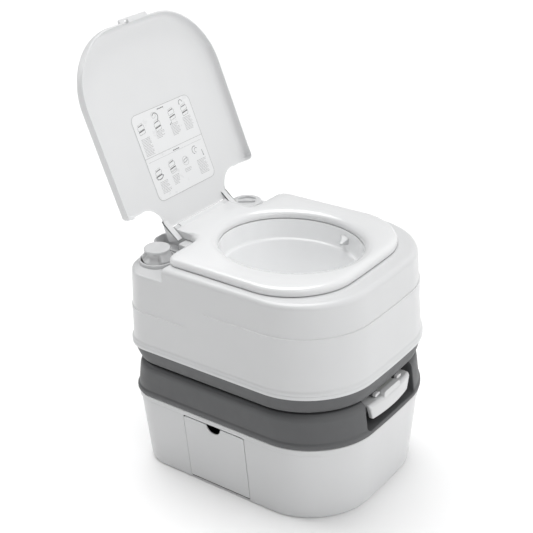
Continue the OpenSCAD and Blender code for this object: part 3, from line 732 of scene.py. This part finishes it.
inner = soften(BOWL_RINGS, BOWL_STEPS, 5)
rings = [flat(ellipse(a + WALL - 0.4, b + WALL - 0.4, y), max(z - 2, BOWL_RINGS[0, 0])) for z, a, b,
         y in inner]
rings[-1][:, 2] = 398.4
rings += [flat(ellipse(a, b, y), z) for a, b, y, z in
          [(HOLE_A + 1.6, HOLE_B + 2.6, HOLE_Y, 399.2), (HOLE_A + 0.4, HOLE_B + 1.4, HOLE_Y, 399.3)]]
rings += [flat(ellipse(a, b, y), z) for z, a, b, y in inner[::-1]]
bowl = loft("white_bowl", rings, loop=True)
nozzle_lo, nozzle_hi = box_mm("flush_nozzle")
NOZZLE = Vector((nozzle_hi.x - 18.0, nozzle_lo.y + 9.0, nozzle_hi.z - 6.0))
cut(bowl, rod("nozzle_bore", "x", NOZZLE, 5.2, -8, 16, 0.1, 48))
# The bowl gets the lighter white: painted light inside its hollow.
piece(bowl, "flush_tank", BOWL_PAINTED_LIGHT_WHITE, "white_plastic", "bowl")

nozzle_rings = []
for x, y0, y1, z0, z1, r in [(-17, -3, 2, -5, -2, 0.8), (-15, -3.5, 3.2, -5.4, -0.8, 1.4),
                             (-9, -5.8, 5.4, -6.6, 2.2, 2.2),
                             (-4, -8.4, 8.2, -7.8, 5.4, 2.6), (-1.5, -9, 9, -8, 6, 2.6),
                             (1, -9, 9, -8, 6, 2.6)]:
    nozzle_rings.append(yz_at(round_box(y0, y1, z0, z1, r), x) + np.array(NOZZLE))
nozzle = unite(loft("white_flush_nozzle", nozzle_rings), rod("stem", "x", NOZZLE, 5, 0, 18, 0.3, 48))
piece(nozzle, "flush_tank", WHITE, "white_plastic", "flush_nozzle")

# ---------------------------------------------------------------- pump and caps

def grips(a, r, z):
    """Knob: a flared skirt with two finger hollows under the disc, towards -X and +X."""
    if z > 398.6 or r < 15:
        return np.full(len(a), float(r))
    hollow = np.interp(z, [381, 383, 387, 391, 395, 397.6, 398.6],
                       [24.5, 22.5, 18.2, 16.4, 16.6, 18.4, 20.2])
    off = np.minimum(np.abs((np.degrees(a) + 180) % 360 - 180),
                     180 - np.abs((np.degrees(a) + 180) % 360 - 180))
    share = smoothstep((58 - off) / 16)
    return np.minimum(r, r + (hollow - r) * share)


knob_r, knob_top = 21.8, knob_hi.z
knob_profile = [(13.5, knob_top - 3), (13.5, 382), (14.2, knob_lo.z)]
knob_profile += [(r, z) for r, z in soften([(14.2, knob_lo.z), (27, knob_lo.z), (27, 384.5), (24.4, 388.5),
                                            (20.4, 395.5),
                                            (20.2, 397.6), (knob_r, 398.4), (knob_r, knob_top),
                                            (0.5, knob_top)],
                                           [0, 1, 2, 3, 2, 0.6, 0.4, 1.8, 0], 6)[1:]]
piece(loft("white_pump_knob", turned(knob_profile, PUMP.x, PUMP.y, 160, grips)), "pump", WHITE,
      "white_plastic", "pump_knob")

collar_profile = soften([(31.4, PLATFORM), (31.4, 380.6), (30.6, 382.9), (28.4, 383), (28, 381), (28, 355),
                         (4.2, 355),
                         (4.2, 352), (30.3, 352), (30.3, PLATFORM)],
                        [0, 1.2, 1.0, 0.5, 1.5, 1.5, 0.2, 0.2, 0.5, 0], 5)
piece(loft("white_pump_collar", turned(collar_profile, PUMP.x, PUMP.y), loop=True), "flush_tank", WHITE,
      "white_plastic", "pump_collar")

spring_lo, spring_hi = box_mm("pump_spring")
TURNS, WIRE = 7.0, 0.95
a = np.linspace(0, 2 * pi * TURNS, int(TURNS * 40))
rise = smoothstep(np.linspace(-0.04, 1.04, len(a))) * 0.35 + np.linspace(0, 1, len(a)) * 0.65
path = np.column_stack([PUMP.x + 9.6 * np.cos(a), PUMP.y + 9.6 * np.sin(a),
                        spring_lo.z + WIRE + (spring_hi.z - spring_lo.z - 2 * WIRE) * rise])
ahead = np.gradient(path, axis=0)
ahead /= np.linalg.norm(ahead, axis=1)[:, None]
out = np.column_stack([np.cos(a), np.sin(a), np.zeros(len(a))])
up = np.cross(ahead, out)
wire = [p + WIRE * (np.outer(np.cos(t := np.arange(10) * 2 * pi / 10), o) + np.outer(np.sin(t), u))
        for p, o, u in zip(path, out, up)]
spring = piece(loft("steel_spring", wire[::-1]), "flush_tank", STEEL, "steel", "pump_spring")
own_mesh(spring)

cap_lo, cap_hi = box_mm("fill_cap")


def knurls(a, r, z):
    """Fill cap: twelve shallow thumb grooves round its lower edge."""
    if r < 26:
        return np.full(len(a), float(r))
    groove = smoothstep((np.cos(12 * a) - 0.35) / 0.65) * smoothstep((393.5 - z) / 3.0)
    return r - 1.3 * groove


cap_profile = soften([(22.2, 390.2), (22.2, cap_lo.z + 0.6), (23, cap_lo.z), (27.6, cap_lo.z), (28, 381),
                      (28, 392.8),
                      (26.4, 395.8), (20, cap_hi.z), (0.5, cap_hi.z)],
                     [0, 0.4, 0.4, 0.4, 0.6, 2.0, 2.0, 3.0, 0], 6)
cap = loft("white_fill_cap", turned(cap_profile, FILLER.x, FILLER.y, 240, knurls))
cutters = []
for side in (-1, 1):
    moon = np.vstack([arc(0, 0, 17.5, -66, 66, 20), arc(5.6, 13.4, 2.6, 110, 180, 5)[1:],
                      arc(5.6, -13.4, 2.6, 180, 250, 5)[:-1]])
    place = Matrix.Translation((FILLER.x, FILLER.y,
                                0)) @ Matrix.Rotation(radians(35) + (pi if side < 0 else 0), 4, "Z")
    cutters.append(flare("grip", moon, cap_hi.z - 4.0, cap_hi.z, 0.8, 2.0, 0.8, place))
cut(cap, *cutters)
piece(cap, "fill_cap", WHITE, "white_plastic", "fill_cap")

# ---------------------------------------------------------------- seat

seat_lo, seat_hi = box_mm("seat")
SEAT_W, SEAT_BOW = seat_hi.x, 5.0
SEAT_F = -seat_lo.y - SEAT_BOW
LOBE_Y, TONGUE_W, TONGUE_Y, NOTCH_R = 113.5, 70.8, 160.0, 21.0
SEAT_Z = seat_lo.z
SEAT_TOP = 414.0


def half_outline(front, side, rear, count):
    """Right half outline from its front, its side and its rear points, evenly resampled."""
    return resample(np.vstack([front, side, rear]), np.linspace(0, 1, count))


seat_rear = np.vstack([[(SEAT_W - 1.0, 40), (SEAT_W - 1.2, LOBE_Y - 1)], [(TONGUE_W + NOTCH_R + 4, LOBE_Y)],
                       arc(TONGUE_W + NOTCH_R, LOBE_Y + NOTCH_R, NOTCH_R, 270, 180, 20),
                       [(TONGUE_W, TONGUE_Y), (0, TONGUE_Y)]])
soft = np.zeros(len(seat_rear))
soft[1], soft[-2] = 24, 2
seat_half = half_outline([(0, -SEAT_F)], arc(SEAT_W - 104.5, -SEAT_F + 104.5, 104.5, -90, 0, 60),
                         soften(seat_rear, soft, 12), 230)
seat_line = bowed(mirrored(seat_half), SEAT_W, SEAT_F, SEAT_BOW)
aim = np.arctan2((seat_line[:, 1] - HOLE_Y) / HOLE_B, seat_line[:, 0] / HOLE_A)


def seat_hole(grow):
    return np.column_stack([(HOLE_A + grow) * np.cos(aim), HOLE_Y + (HOLE_B + grow) * np.sin(aim)])


tongue_share = smoothstep((seat_line[:, 1] - 124) / 14) * (np.abs(seat_line[:, 0]) < TONGUE_W + 4)
crisp = 1 - 0.75 * tongue_share


def seat_ring(z, d):
    """Outer ring of the seat. On the tongue its edge is crisp instead of rounded."""
    return flat(inset(seat_line, d * crisp), z + (SEAT_TOP - z) * 0.75 * tongue_share * (z > 406))


def lean_back(ring):
    """Moves the top of the tongue's rear edge back and up, to cover the hinge."""
    share = smoothstep((ring[:, 2] - 406) / 8) * smoothstep((ring[:, 1] - 146) / 14)
    return ring + np.outer(share, [0.0, 3.2, 0.9])


rings = stack(seat_line, [(SEAT_Z, 3.4), (SEAT_Z, 1.0), (SEAT_Z + 0.3, 0.3), (SEAT_Z + 1.1, 0)])
rings += [seat_ring(z, d) for z, d in [(404.0, 0.1), (406.2, 0.5), (408.4, 1.4), (410.4, 2.9),
                                       (412.0, 5.0)]]
outer, inner = inset(seat_line, 5.0 * crisp), seat_hole(12.0)
for share, z in [(0.1, 413.0), (0.22, 413.65), (0.4, SEAT_TOP), (0.6, SEAT_TOP), (0.8, 413.8),
                 (0.92, 413.45)]:
    rings.append(flat(outer + (inner - outer) * share, z + (SEAT_TOP - z) * tongue_share * (share < 0.5)))
for grow, z in [(12, 413.0), (8.6, 412.2), (5.6, 411.0), (3.2, 409.3), (1.5, 407.2), (0.5, 404.9),
                (0.1, 402.8), (0.1, 401.4),
                (0.4, SEAT_Z + 0.3), (1.0, SEAT_Z), (3.0, SEAT_Z), (3.2, 404), (4.6, 408.2), (9, 410.4)]:
    rings.append(flat(seat_hole(grow), z))
deep = inset(seat_line, 6.0)
for share, z in [(0.7, 411.0), (0.35, 411.0), (0.1, 409.6)]:
    rings.append(flat(deep + (seat_hole(9.0) - deep) * share, z))
rings += stack(seat_line, [(406.8, 4.4), (403.0, 3.6)])
seat = loft("white_seat", [lean_back(ring) for ring in rings], loop=True)
barrel = np.vstack([[(150, 403), (160.5, 403)], arc(HINGE.y, HINGE.z, 6.2, -118, 120, 30),
                    [(160.0, 413.0), (150, 412.0)]])
unite(seat, slab("hinge_barrel", barrel, 0.6 - EAR_X0, EAR_X0 - 0.6, 0.6, ALONG_X))
piece(seat, "seat", SEAT_WHITE, "white_plastic", "seat", smooth_angle=40)

# ---------------------------------------------------------------- lid, in its closed place, then opened

LID_W, LID_F, LID_REAR, LID_BOW = 164.0, 172.0, 118.5, 5.0
LID_EDGE, LID_INNER, LID_TOP = 401.5, 415.2, 418.0
lid_range = next(j for j in frame["joints"] if j["name"] == "lid_hinge")["range_deg"]
TURN = Matrix.Rotation(radians(lid_range[0]), 4, "X")
OPENED = Matrix.Translation(HINGE) @ TURN @ Matrix.Translation(-HINGE)

lid_rear = np.vstack([[(LID_W, 20), (LID_W - 0.6, LID_REAR)], [(122, LID_REAR)],
                      arc(118, 153.5, 36, 270, 180, 26),
                      [(82, 161.5), (0, 161.5)]])
soft = np.zeros(len(lid_rear))
soft[1], soft[2], soft[-2] = 9, 2, 4
lid_half = half_outline([(0, -LID_F)], arc(LID_W - 108, -LID_F + 108, 108, -90, 0, 60),
                        soften(lid_rear, soft, 12), 230)
lid_line = bowed(mirrored(lid_half), LID_W, LID_F, LID_BOW)
lid_rear_share = smoothstep((lid_line[:, 1] - 94) / 18)
rim_fade = smoothstep((152 - np.abs(lid_line[:, 0])) / 14) * (lid_line[:, 1] > 105)
rim_z = LID_EDGE + (LID_INNER - 1.2 - LID_EDGE) * rim_fade
inner_share = 1 - 0.72 * lid_rear_share


def lid_ring(d, height):
    """Ring inside the lid, at an inset that shrinks at the rear. Height 0 is the rim's edge, and 1 the floor."""
    return flat(inset(lid_line, d * inner_share), rim_z + (LID_INNER - rim_z) * height)


rings = [lid_ring(d, h) for d, h in [(18, 1.0), (14, 0.985), (11, 0.95), (8.5, 0.88), (6.6, 0.76),
                                     (5.2, 0.6), (4.2, 0.42),
                                     (3.4, 0.2), (2.8, 0.06), (2.4, 0.0), (0.7, 0.0), (0.2, 0.03),
                                     (0.0, 0.09)]]
rings += [flat(inset(lid_line, d), np.maximum(z, rim_z + 0.9 + 0.3 * k)) for k,
          (z, d) in enumerate([(411.0, 0.0), (413.4, 0.25)])]
rings += stack(lid_line, [(416.0, 0.8), (416.9, 1.8), (417.6, 3.4), (LID_TOP, 5.6)])
lid = loft("white_lid", rings, place=OPENED)
front = -LID_F - LID_BOW
tab = np.vstack([arc(-29, front - 2, 4, 180, 270, 6), arc(29, front - 2, 4, 270, 360, 6),
                 [(33, front + 3), (-33, front + 3)]])
legs = [slab("tab", tab, LID_EDGE, LID_EDGE + 5, 1.0, OPENED)]
for side in (-1, 1):
    x0, x1 = sorted((side * LEG_X0, side * LEG_X1))
    leg = soften([(146, 416.8), (149, 414.8), (158, 411), (161.8, 408), (183.5, 395), (183.5, 417.8),
                  (150, 417.8)],
                 [0.5, 1, 3, 2, 2.5, 2.0, 0.5], 6, True)
    legs.append(slab("leg", leg, x0, x1, 1.4, OPENED @ ALONG_X))
unite(lid, *legs)
slot = slab("slot", round_box(-23, -13, front - 2.5, front + 4.5, 1.2), LID_EDGE - 3, LID_EDGE + 7, 0.2,
            OPENED)
cut(lid, slot)
piece(lid, "lid", LID_WHITE, "white_plastic", "lid", "lid_rim", smooth_angle=40)

# The instruction label: a clear film with generic pictures and rows of dashes instead of words
label_mid = Vector((0, 43, 0))
LABEL_W, LABEL_H, LABEL_Z = 73.5, 74.5, LID_INNER - 0.5
READ = OPENED @ Matrix.Translation((label_mid.x, label_mid.y, LABEL_Z)) @ Matrix.Rotation(pi, 4, "X")
film = slab("label_film", round_box(-LABEL_W, LABEL_W, -LABEL_H, LABEL_H, 12), -0.75, 0.0, 0.12, READ)
piece(film, "lid", FILM, "label", "lid_label")


class Print:
    """Flat marks on the label, as thin closed shapes. u runs right and v up as the label is read."""

    def __init__(self):
        self.verts, self.faces = [], []

    def shape(self, outline, rise=0.07):
        outline = np.asarray(outline, float)
        area = np.sum(outline[:, 0] * np.roll(outline[:, 1], -1) - outline[:, 1] * np.roll(outline[:, 0],
                                                                                           -1))
        if area < 0:
            outline = outline[::-1]
        n, first = len(outline), len(self.verts)
        self.verts += [(u, v, -0.05) for u, v in outline] + [(u, v, rise) for u, v in outline]
        self.faces += [(first + i, first + (i + 1) % n, first + n + (i + 1) % n,
                        first + n + i) for i in range(n)]
        self.faces += [tuple(range(first + n - 1, first - 1, -1)), tuple(range(first + n, first + 2 * n))]

    def stroke(self, points, width=0.45, closed=False):
        """A line of even width through points."""
        p = np.asarray(points, float)
        pairs = list(zip(p, np.roll(p, -1, axis=0))) if closed else list(zip(p[:-1], p[1:]))
        for a, b in pairs:
            along = (b - a) / max(np.linalg.norm(b - a), 1e-9)
            side = np.array([-along[1], along[0]]) * width / 2
            a, b = a - along * width * 0.3, b + along * width * 0.3
            self.shape([a - side, b - side, b + side, a + side])

    def words(self, u0, u1, v_top, rows, seed):
        """Rows of short dashes with ragged ends, standing for a paragraph."""
        rng = np.random.default_rng(seed)
        for k in range(rows):
            v, u = v_top - 2.35 * k, u0
            end = u1 - (rng.uniform(2, 8) if k % 3 == 2 or k == rows - 1 else rng.uniform(0, 2))
            while u < end - 1.5:
                stop = min(end, u + rng.uniform(1.8, 5.0))
                self.shape([(u, v), (stop, v), (stop, v + 0.75), (u, v + 0.75)])
                u = stop + 0.9

    def object(self, name, material):
        obj = mesh_object(name, self.verts, self.faces, READ)
        return piece(obj, "lid", material, "label")


def spot(a, b):
    """A place on the label from its shares across and down."""
    return np.array([-LABEL_W + 2 * LABEL_W * a, LABEL_H - 2 * LABEL_H * b])


dark, pale = Print(), Print()
border = round_box(-LABEL_W + 0.6, LABEL_W - 0.6, -LABEL_H + 0.6, LABEL_H - 0.6, 11.5)
pale.stroke(border, 0.7, True)
pale.stroke([(-LABEL_W + 1, 0.5), (LABEL_W - 1, 0.5)], 0.6)
pale.stroke([(-LABEL_W + 6, -7.0), (LABEL_W - 6, -7.0)], 0.35)
for a, b in ((0.5, 0.035), (0.52, 0.53)):
    u, v = spot(a, b)
    for k in range(4):
        dark.shape([(u - 8 + 4.1 * k, v - 0.8), (u - 4.7 + 4.1 * k, v - 0.8), (u - 4.7 + 4.1 * k, v + 0.8),
                    (u - 8 + 4.1 * k, v + 0.8)])


def oblong(u, v, w, h, skew=0.0):
    return np.array([(u - w, v - h - skew), (u + w, v - h + skew), (u + w, v + h + skew),
                     (u - w, v + h - skew)])


def tank_picture(u, v, lifted=0.0):
    """A small generic picture of a two-part box with a dark band."""
    dark.shape(oblong(u, v - 3.2, 7.2, 0.9, 1.0))
    dark.stroke(soften(oblong(u, v - 6.0, 7.0, 2.6, 1.0), 1.5, 3, True), 0.4, True)
    dark.stroke(soften(oblong(u, v + 1.8 + lifted, 7.4, 3.4, 1.0), 1.8, 3, True), 0.4, True)
    dark.shape(oblong(u, v + 5.6 + lifted, 5.2, 0.5, 1.0))
    pale.stroke(soften(oblong(u, v + 7.4 + lifted, 5.8, 1.1, 1.0), 1.0, 3, True), 0.4, True)


def arrow(points, head=1.7):
    dark.stroke(points, 0.9)
    p, q = np.asarray(points[-2], float), np.asarray(points[-1], float)
    along = (q - p) / np.linalg.norm(q - p)
    side = np.array([-along[1], along[0]])
    dark.shape([q + along * head, q - side * head * 0.8, q + side * head * 0.8])


tank_picture(*spot(0.11, 0.17))
tank_picture(*spot(0.37, 0.20))
dark.stroke(arc(*(spot(0.37, 0.11) + (1, 1)), 6.5, -60, 150, 16), 1.1)
pale.stroke(arc(*(spot(0.37, 0.10) + (-2, 3)), 5.0, 0, 340, 18), 0.45, True)
tank_picture(*spot(0.64, 0.15), 1.6)
arrow([spot(0.60, 0.23), spot(0.57, 0.25)])
tank_picture(*spot(0.86, 0.16), 1.0)
arrow(arc(*(spot(0.84, 0.06) + (0, -1)), 4.5, 0, 200, 10))
pale.words(-66, -43, spot(0, 0.285)[1], 13, 1)
pale.words(-29, -8, spot(0, 0.275)[1], 5, 2)
pale.words(9, 30, spot(0, 0.255)[1], 9, 3)
pale.words(42, 64, spot(0, 0.245)[1], 10, 4)
tank_picture(*spot(0.13, 0.70))
arrow(arc(*spot(0.13, 0.70), 9.6, 200, 330, 10))
tank_picture(*(spot(0.37, 0.69) + (0, 1)), 1.2)
pale.stroke(soften(oblong(*spot(0.37, 0.745), 7, 2.2, 1.0), 1.5, 3, True), 0.5, True)
pale.stroke(arc(*spot(0.60, 0.695), 7.5, 0, 345, 22), 0.5, True)
dark.stroke(soften(oblong(*spot(0.60, 0.69), 4.6, 2.4, 1.2), 1.2, 3, True), 0.7, True)
dark.stroke(arc(*spot(0.80, 0.63), 6.6, 60, 250, 12), 0.8)
dark.stroke(arc(*spot(0.82, 0.635), 4.0, 40, 260, 10), 0.6)
arrow([spot(0.91, 0.66), spot(0.915, 0.72)])
pale.words(-59, -37, spot(0, 0.80)[1], 9, 5)
pale.words(-27, -9, spot(0, 0.795)[1], 7, 6)
pale.words(6, 24, spot(0, 0.785)[1], 3, 7)
pale.words(40, 64, spot(0, 0.76)[1], 11, 8)
dark.object("label_pictures", INK)
pale.object("label_dashes", PALE_INK)

# ---------------------------------------------------------------- valve handle

handle_lo, handle_hi = box_mm("valve_handle")
HANDLE_W, HANDLE_LOW_W, HANDLE_Z, HANDLE_TOP = handle_hi.x, 54.0, handle_lo.z, 195.0
section = soften([(-216.0, HANDLE_Z + 0.4), (-211.6, HANDLE_Z), (-208.8, HANDLE_Z + 1.2), (-208.4, 188.6),
                  (-206.4, 190.6),
                  (-188.2, 190.8), (-186.2, 191.2), (-186.2, 194.6), (-187.6, HANDLE_TOP),
                  (-212.0, HANDLE_TOP), (-216.0, 190.4)],
                 [1.8, 1.2, 1.2, 1.6, 1.6, 0.5, 0.5, 0.5, 0.8, 2.4, 2.6], 5, True)
rings = []
for t, d in [(-1, 2.0), (-0.992, 1.0), (-0.978, 0.35),
             (-0.955, 0)] + [(t, 0) for t in np.linspace(-0.93, 0.93, 41)] + \
        [(0.955, 0), (0.978, 0.35), (0.992, 1.0), (1, 2.0)]:
    ring = inset(section, min(d, 1.15))
    half_width = HANDLE_LOW_W + (HANDLE_W - HANDLE_LOW_W) * (ring[:,
                                                                  1] - HANDLE_Z) / (HANDLE_TOP - HANDLE_Z)
    rings.append(np.column_stack([t * half_width, ring[:, 0] + 5.0 * t * t + (0.5 if abs(t) == 1 else 0),
                                  ring[:, 1]]))
handle = loft("white_valve_handle", rings)
tongue = slab("tongue", soften([(-25, 190), (25, 190), (23.4, handle_hi.z), (-23.4, handle_hi.z)],
                               [0.1, 0.1, 5, 5], 8, True),
              204, 214.6, 1.4, Matrix.Rotation(pi / 2, 4, "X"))
unite(handle, tongue)
piece(handle, "valve", WHITE, "white_plastic", "valve_handle")

# ---------------------------------------------------------------- side doors

hinge_left = joint_mm("left_door_hinge")
LEAN = np.arctan((21.3 - 11.4) / (133.5 - 8.0))
DOOR_GAP = 0.6
LEAF_H = DOOR_Z1 - hinge_left.z - 0.9
THUMB_Y, THUMB_R = (DOOR_Y0 + DOOR_Y1) / 2, 14.5
leaf = np.vstack([[(DOOR_Y0 + DOOR_GAP, -1.5), (DOOR_Y1 - DOOR_GAP, -1.5), (DOOR_Y1 - DOOR_GAP, LEAF_H),
                   (THUMB_Y + THUMB_R + 1, LEAF_H)],
                  arc(THUMB_Y, LEAF_H + 0.2, THUMB_R, -4, -176, 30),
                  [(THUMB_Y - THUMB_R - 1, LEAF_H), (DOOR_Y0 + DOOR_GAP, LEAF_H)]])
leaf_soft = np.full(len(leaf), 0.9)
leaf_soft[2] = leaf_soft[-1] = 4.0
for side, body, node in ((-1, "side_door_left", "side_door_left"),
                         (1, "side_door_right", "side_door_right")):
    place = Matrix.Translation((hinge_left.x, 0, hinge_left.z)) @ Matrix.Rotation(-LEAN, 4, "Y")
    if side > 0:
        place = MIRROR_X @ place
    door = slab("white_" + node, soften(leaf, leaf_soft, 6, True), -4.2, -1.8, 0.6, place @ ALONG_X)
    barrel = [loft("barrel", turned([(3.6, DOOR_Y0 + 0.8), (4.2, DOOR_Y0 + 1.4), (4.2, DOOR_Y1 - 1.4),
                                     (3.6, DOOR_Y1 - 0.8)], 0, 0, 48),
                   place=place @ ALONG_Y),
              loft("stub", turned([(1.6, DOOR_Y0 - 3), (2, DOOR_Y0 - 2.6), (2, DOOR_Y1 + 2.6),
                                   (1.6, DOOR_Y1 + 3)], 0, 0, 32),
                   place=place @ ALONG_Y)]
    unite(door, *barrel)
    piece(door, body, WHITE, "white_plastic", node)

# ---------------------------------------------------------------- CAD nodes that stay, with their materials

BY_MATERIAL = [
    (GREY, ["valve_housing", "spout", "spout_cap"]),
    (NATURAL, ["valve_blade", "pump_barrel", "pump_hose"]),
    (WHITE, ["rear_latch", "filler_neck"]),
    (RUBBER, ["valve_seal_upper", "valve_seal_lower", "tank_seal", "spout_oring", "spout_cap_gasket",
              "foot_valve",
              "pump_piston", "fill_cap_gasket", "seat_bumpers"]),
    (STEEL, ["valve_screws", "latch_pin", "pump_rod", "hinge_pins"])]
for material, names in BY_MATERIAL:
    for name in names:
        obj = frame["nodes"][name]
        for index in range(max(1, len(obj.material_slots))):
            if not obj.material_slots:
                obj.data.materials.append(material)
            obj.material_slots[index].material = material
for name, width in (("spout", 0.6), ("spout_cap", 0.7), ("rear_latch", 0.7)):
    bevel = frame["nodes"][name].modifiers.new("edges", "BEVEL")
    bevel.width = width * MM
    bevel.segments = 3
    bevel.limit_method = "ANGLE"
    bevel.angle_limit = radians(40)

# ---------------------------------------------------------------- floor, light and camera

floor_mesh = bpy.data.meshes.new("floor")
floor_mesh.from_pydata([(-14, -14, 0), (14, -14, 0), (14, 14, 0), (-14, 14, 0)], [], [(0, 1, 2, 3)])
floor = bpy.data.objects.new("floor", floor_mesh)
bpy.context.scene.collection.objects.link(floor)
floor.data.materials.append(plastic("studio_floor", (0.95, 0.95, 0.95), 0.8, 200.0, 0.00002, 0.004))

world = bpy.data.worlds.new("studio")
bpy.context.scene.world = world
world.use_nodes = True
nodes, links = world.node_tree.nodes, world.node_tree.links
sky = nodes["Background"]
where = nodes.new("ShaderNodeTexCoord")
tilt = nodes.new("ShaderNodeVectorMath")
tilt.operation = "DOT_PRODUCT"
tilt.inputs[1].default_value = (0.26, -0.50, 0.0)
level = nodes.new("ShaderNodeMath")
level.inputs[1].default_value = 0.46
least = nodes.new("ShaderNodeMath")
least.operation = "MAXIMUM"
least.inputs[1].default_value = 0.14
links.new(where.outputs["Generated"], tilt.inputs[0])
links.new(tilt.outputs["Value"], level.inputs[0])
links.new(level.outputs["Value"], least.inputs[0])
links.new(least.outputs["Value"], sky.inputs["Strength"])
sky.inputs["Color"].default_value = (1.0, 1.0, 1.0, 1)


def sun(name, towards, strength, angle):
    """A distant lamp. towards points from the object to the lamp."""
    lamp = bpy.data.objects.new(name, bpy.data.lights.new(name, "SUN"))
    lamp.data.energy = strength
    lamp.data.angle = radians(angle)
    lamp.rotation_euler = Vector(towards).to_track_quat("Z", "Y").to_euler()
    bpy.context.scene.collection.objects.link(lamp)


def softbox(name, place, aim_at, size, power):
    """A square lamp for highlights."""
    lamp = bpy.data.objects.new(name, bpy.data.lights.new(name, "AREA"))
    lamp.data.size = size
    lamp.data.energy = power
    lamp.location = place
    lamp.rotation_euler = (Vector(place) - Vector(aim_at)).to_track_quat("Z", "Y").to_euler()
    bpy.context.scene.collection.objects.link(lamp)


sun("key_light", (0.13, 0.26, 1.0), 2.05, 45)
sun("front_fill", (0.15, -1.0, 0.45), 0.42, 70)
softbox("rear_light", (-0.6, 1.9, 1.7), (0, 0, 0.4), 0.7, 9)
softbox("camera_side_light", (-1.0, -1.4, 2.1), (0, 0, 0.4), 0.55, 4)

CAMERA_AT = Vector((-1.3902, -1.0260, 1.2215))
AZIMUTH, ELEVATION, ROLL = radians(-52.76), radians(26.51), radians(-2.18)
back = Vector((sin(AZIMUTH) * cos(ELEVATION), -cos(AZIMUTH) * cos(ELEVATION), sin(ELEVATION)))
right = Vector((cos(AZIMUTH), sin(AZIMUTH), 0))
up = back.cross(right)
axes = Matrix((right * cos(ROLL) + up * sin(ROLL), up * cos(ROLL) - right * sin(ROLL), back)).transposed()
camera = bpy.data.objects.new("camera", bpy.data.cameras.new("camera"))
camera.data.sensor_width = 36.0
camera.data.lens = 79.22
camera.data.clip_end = 60.0
camera.matrix_world = Matrix.Translation(CAMERA_AT) @ axes.to_4x4()
bpy.context.scene.collection.objects.link(camera)
bpy.context.scene.camera = camera
bpy.context.scene.view_settings.view_transform = "Standard"
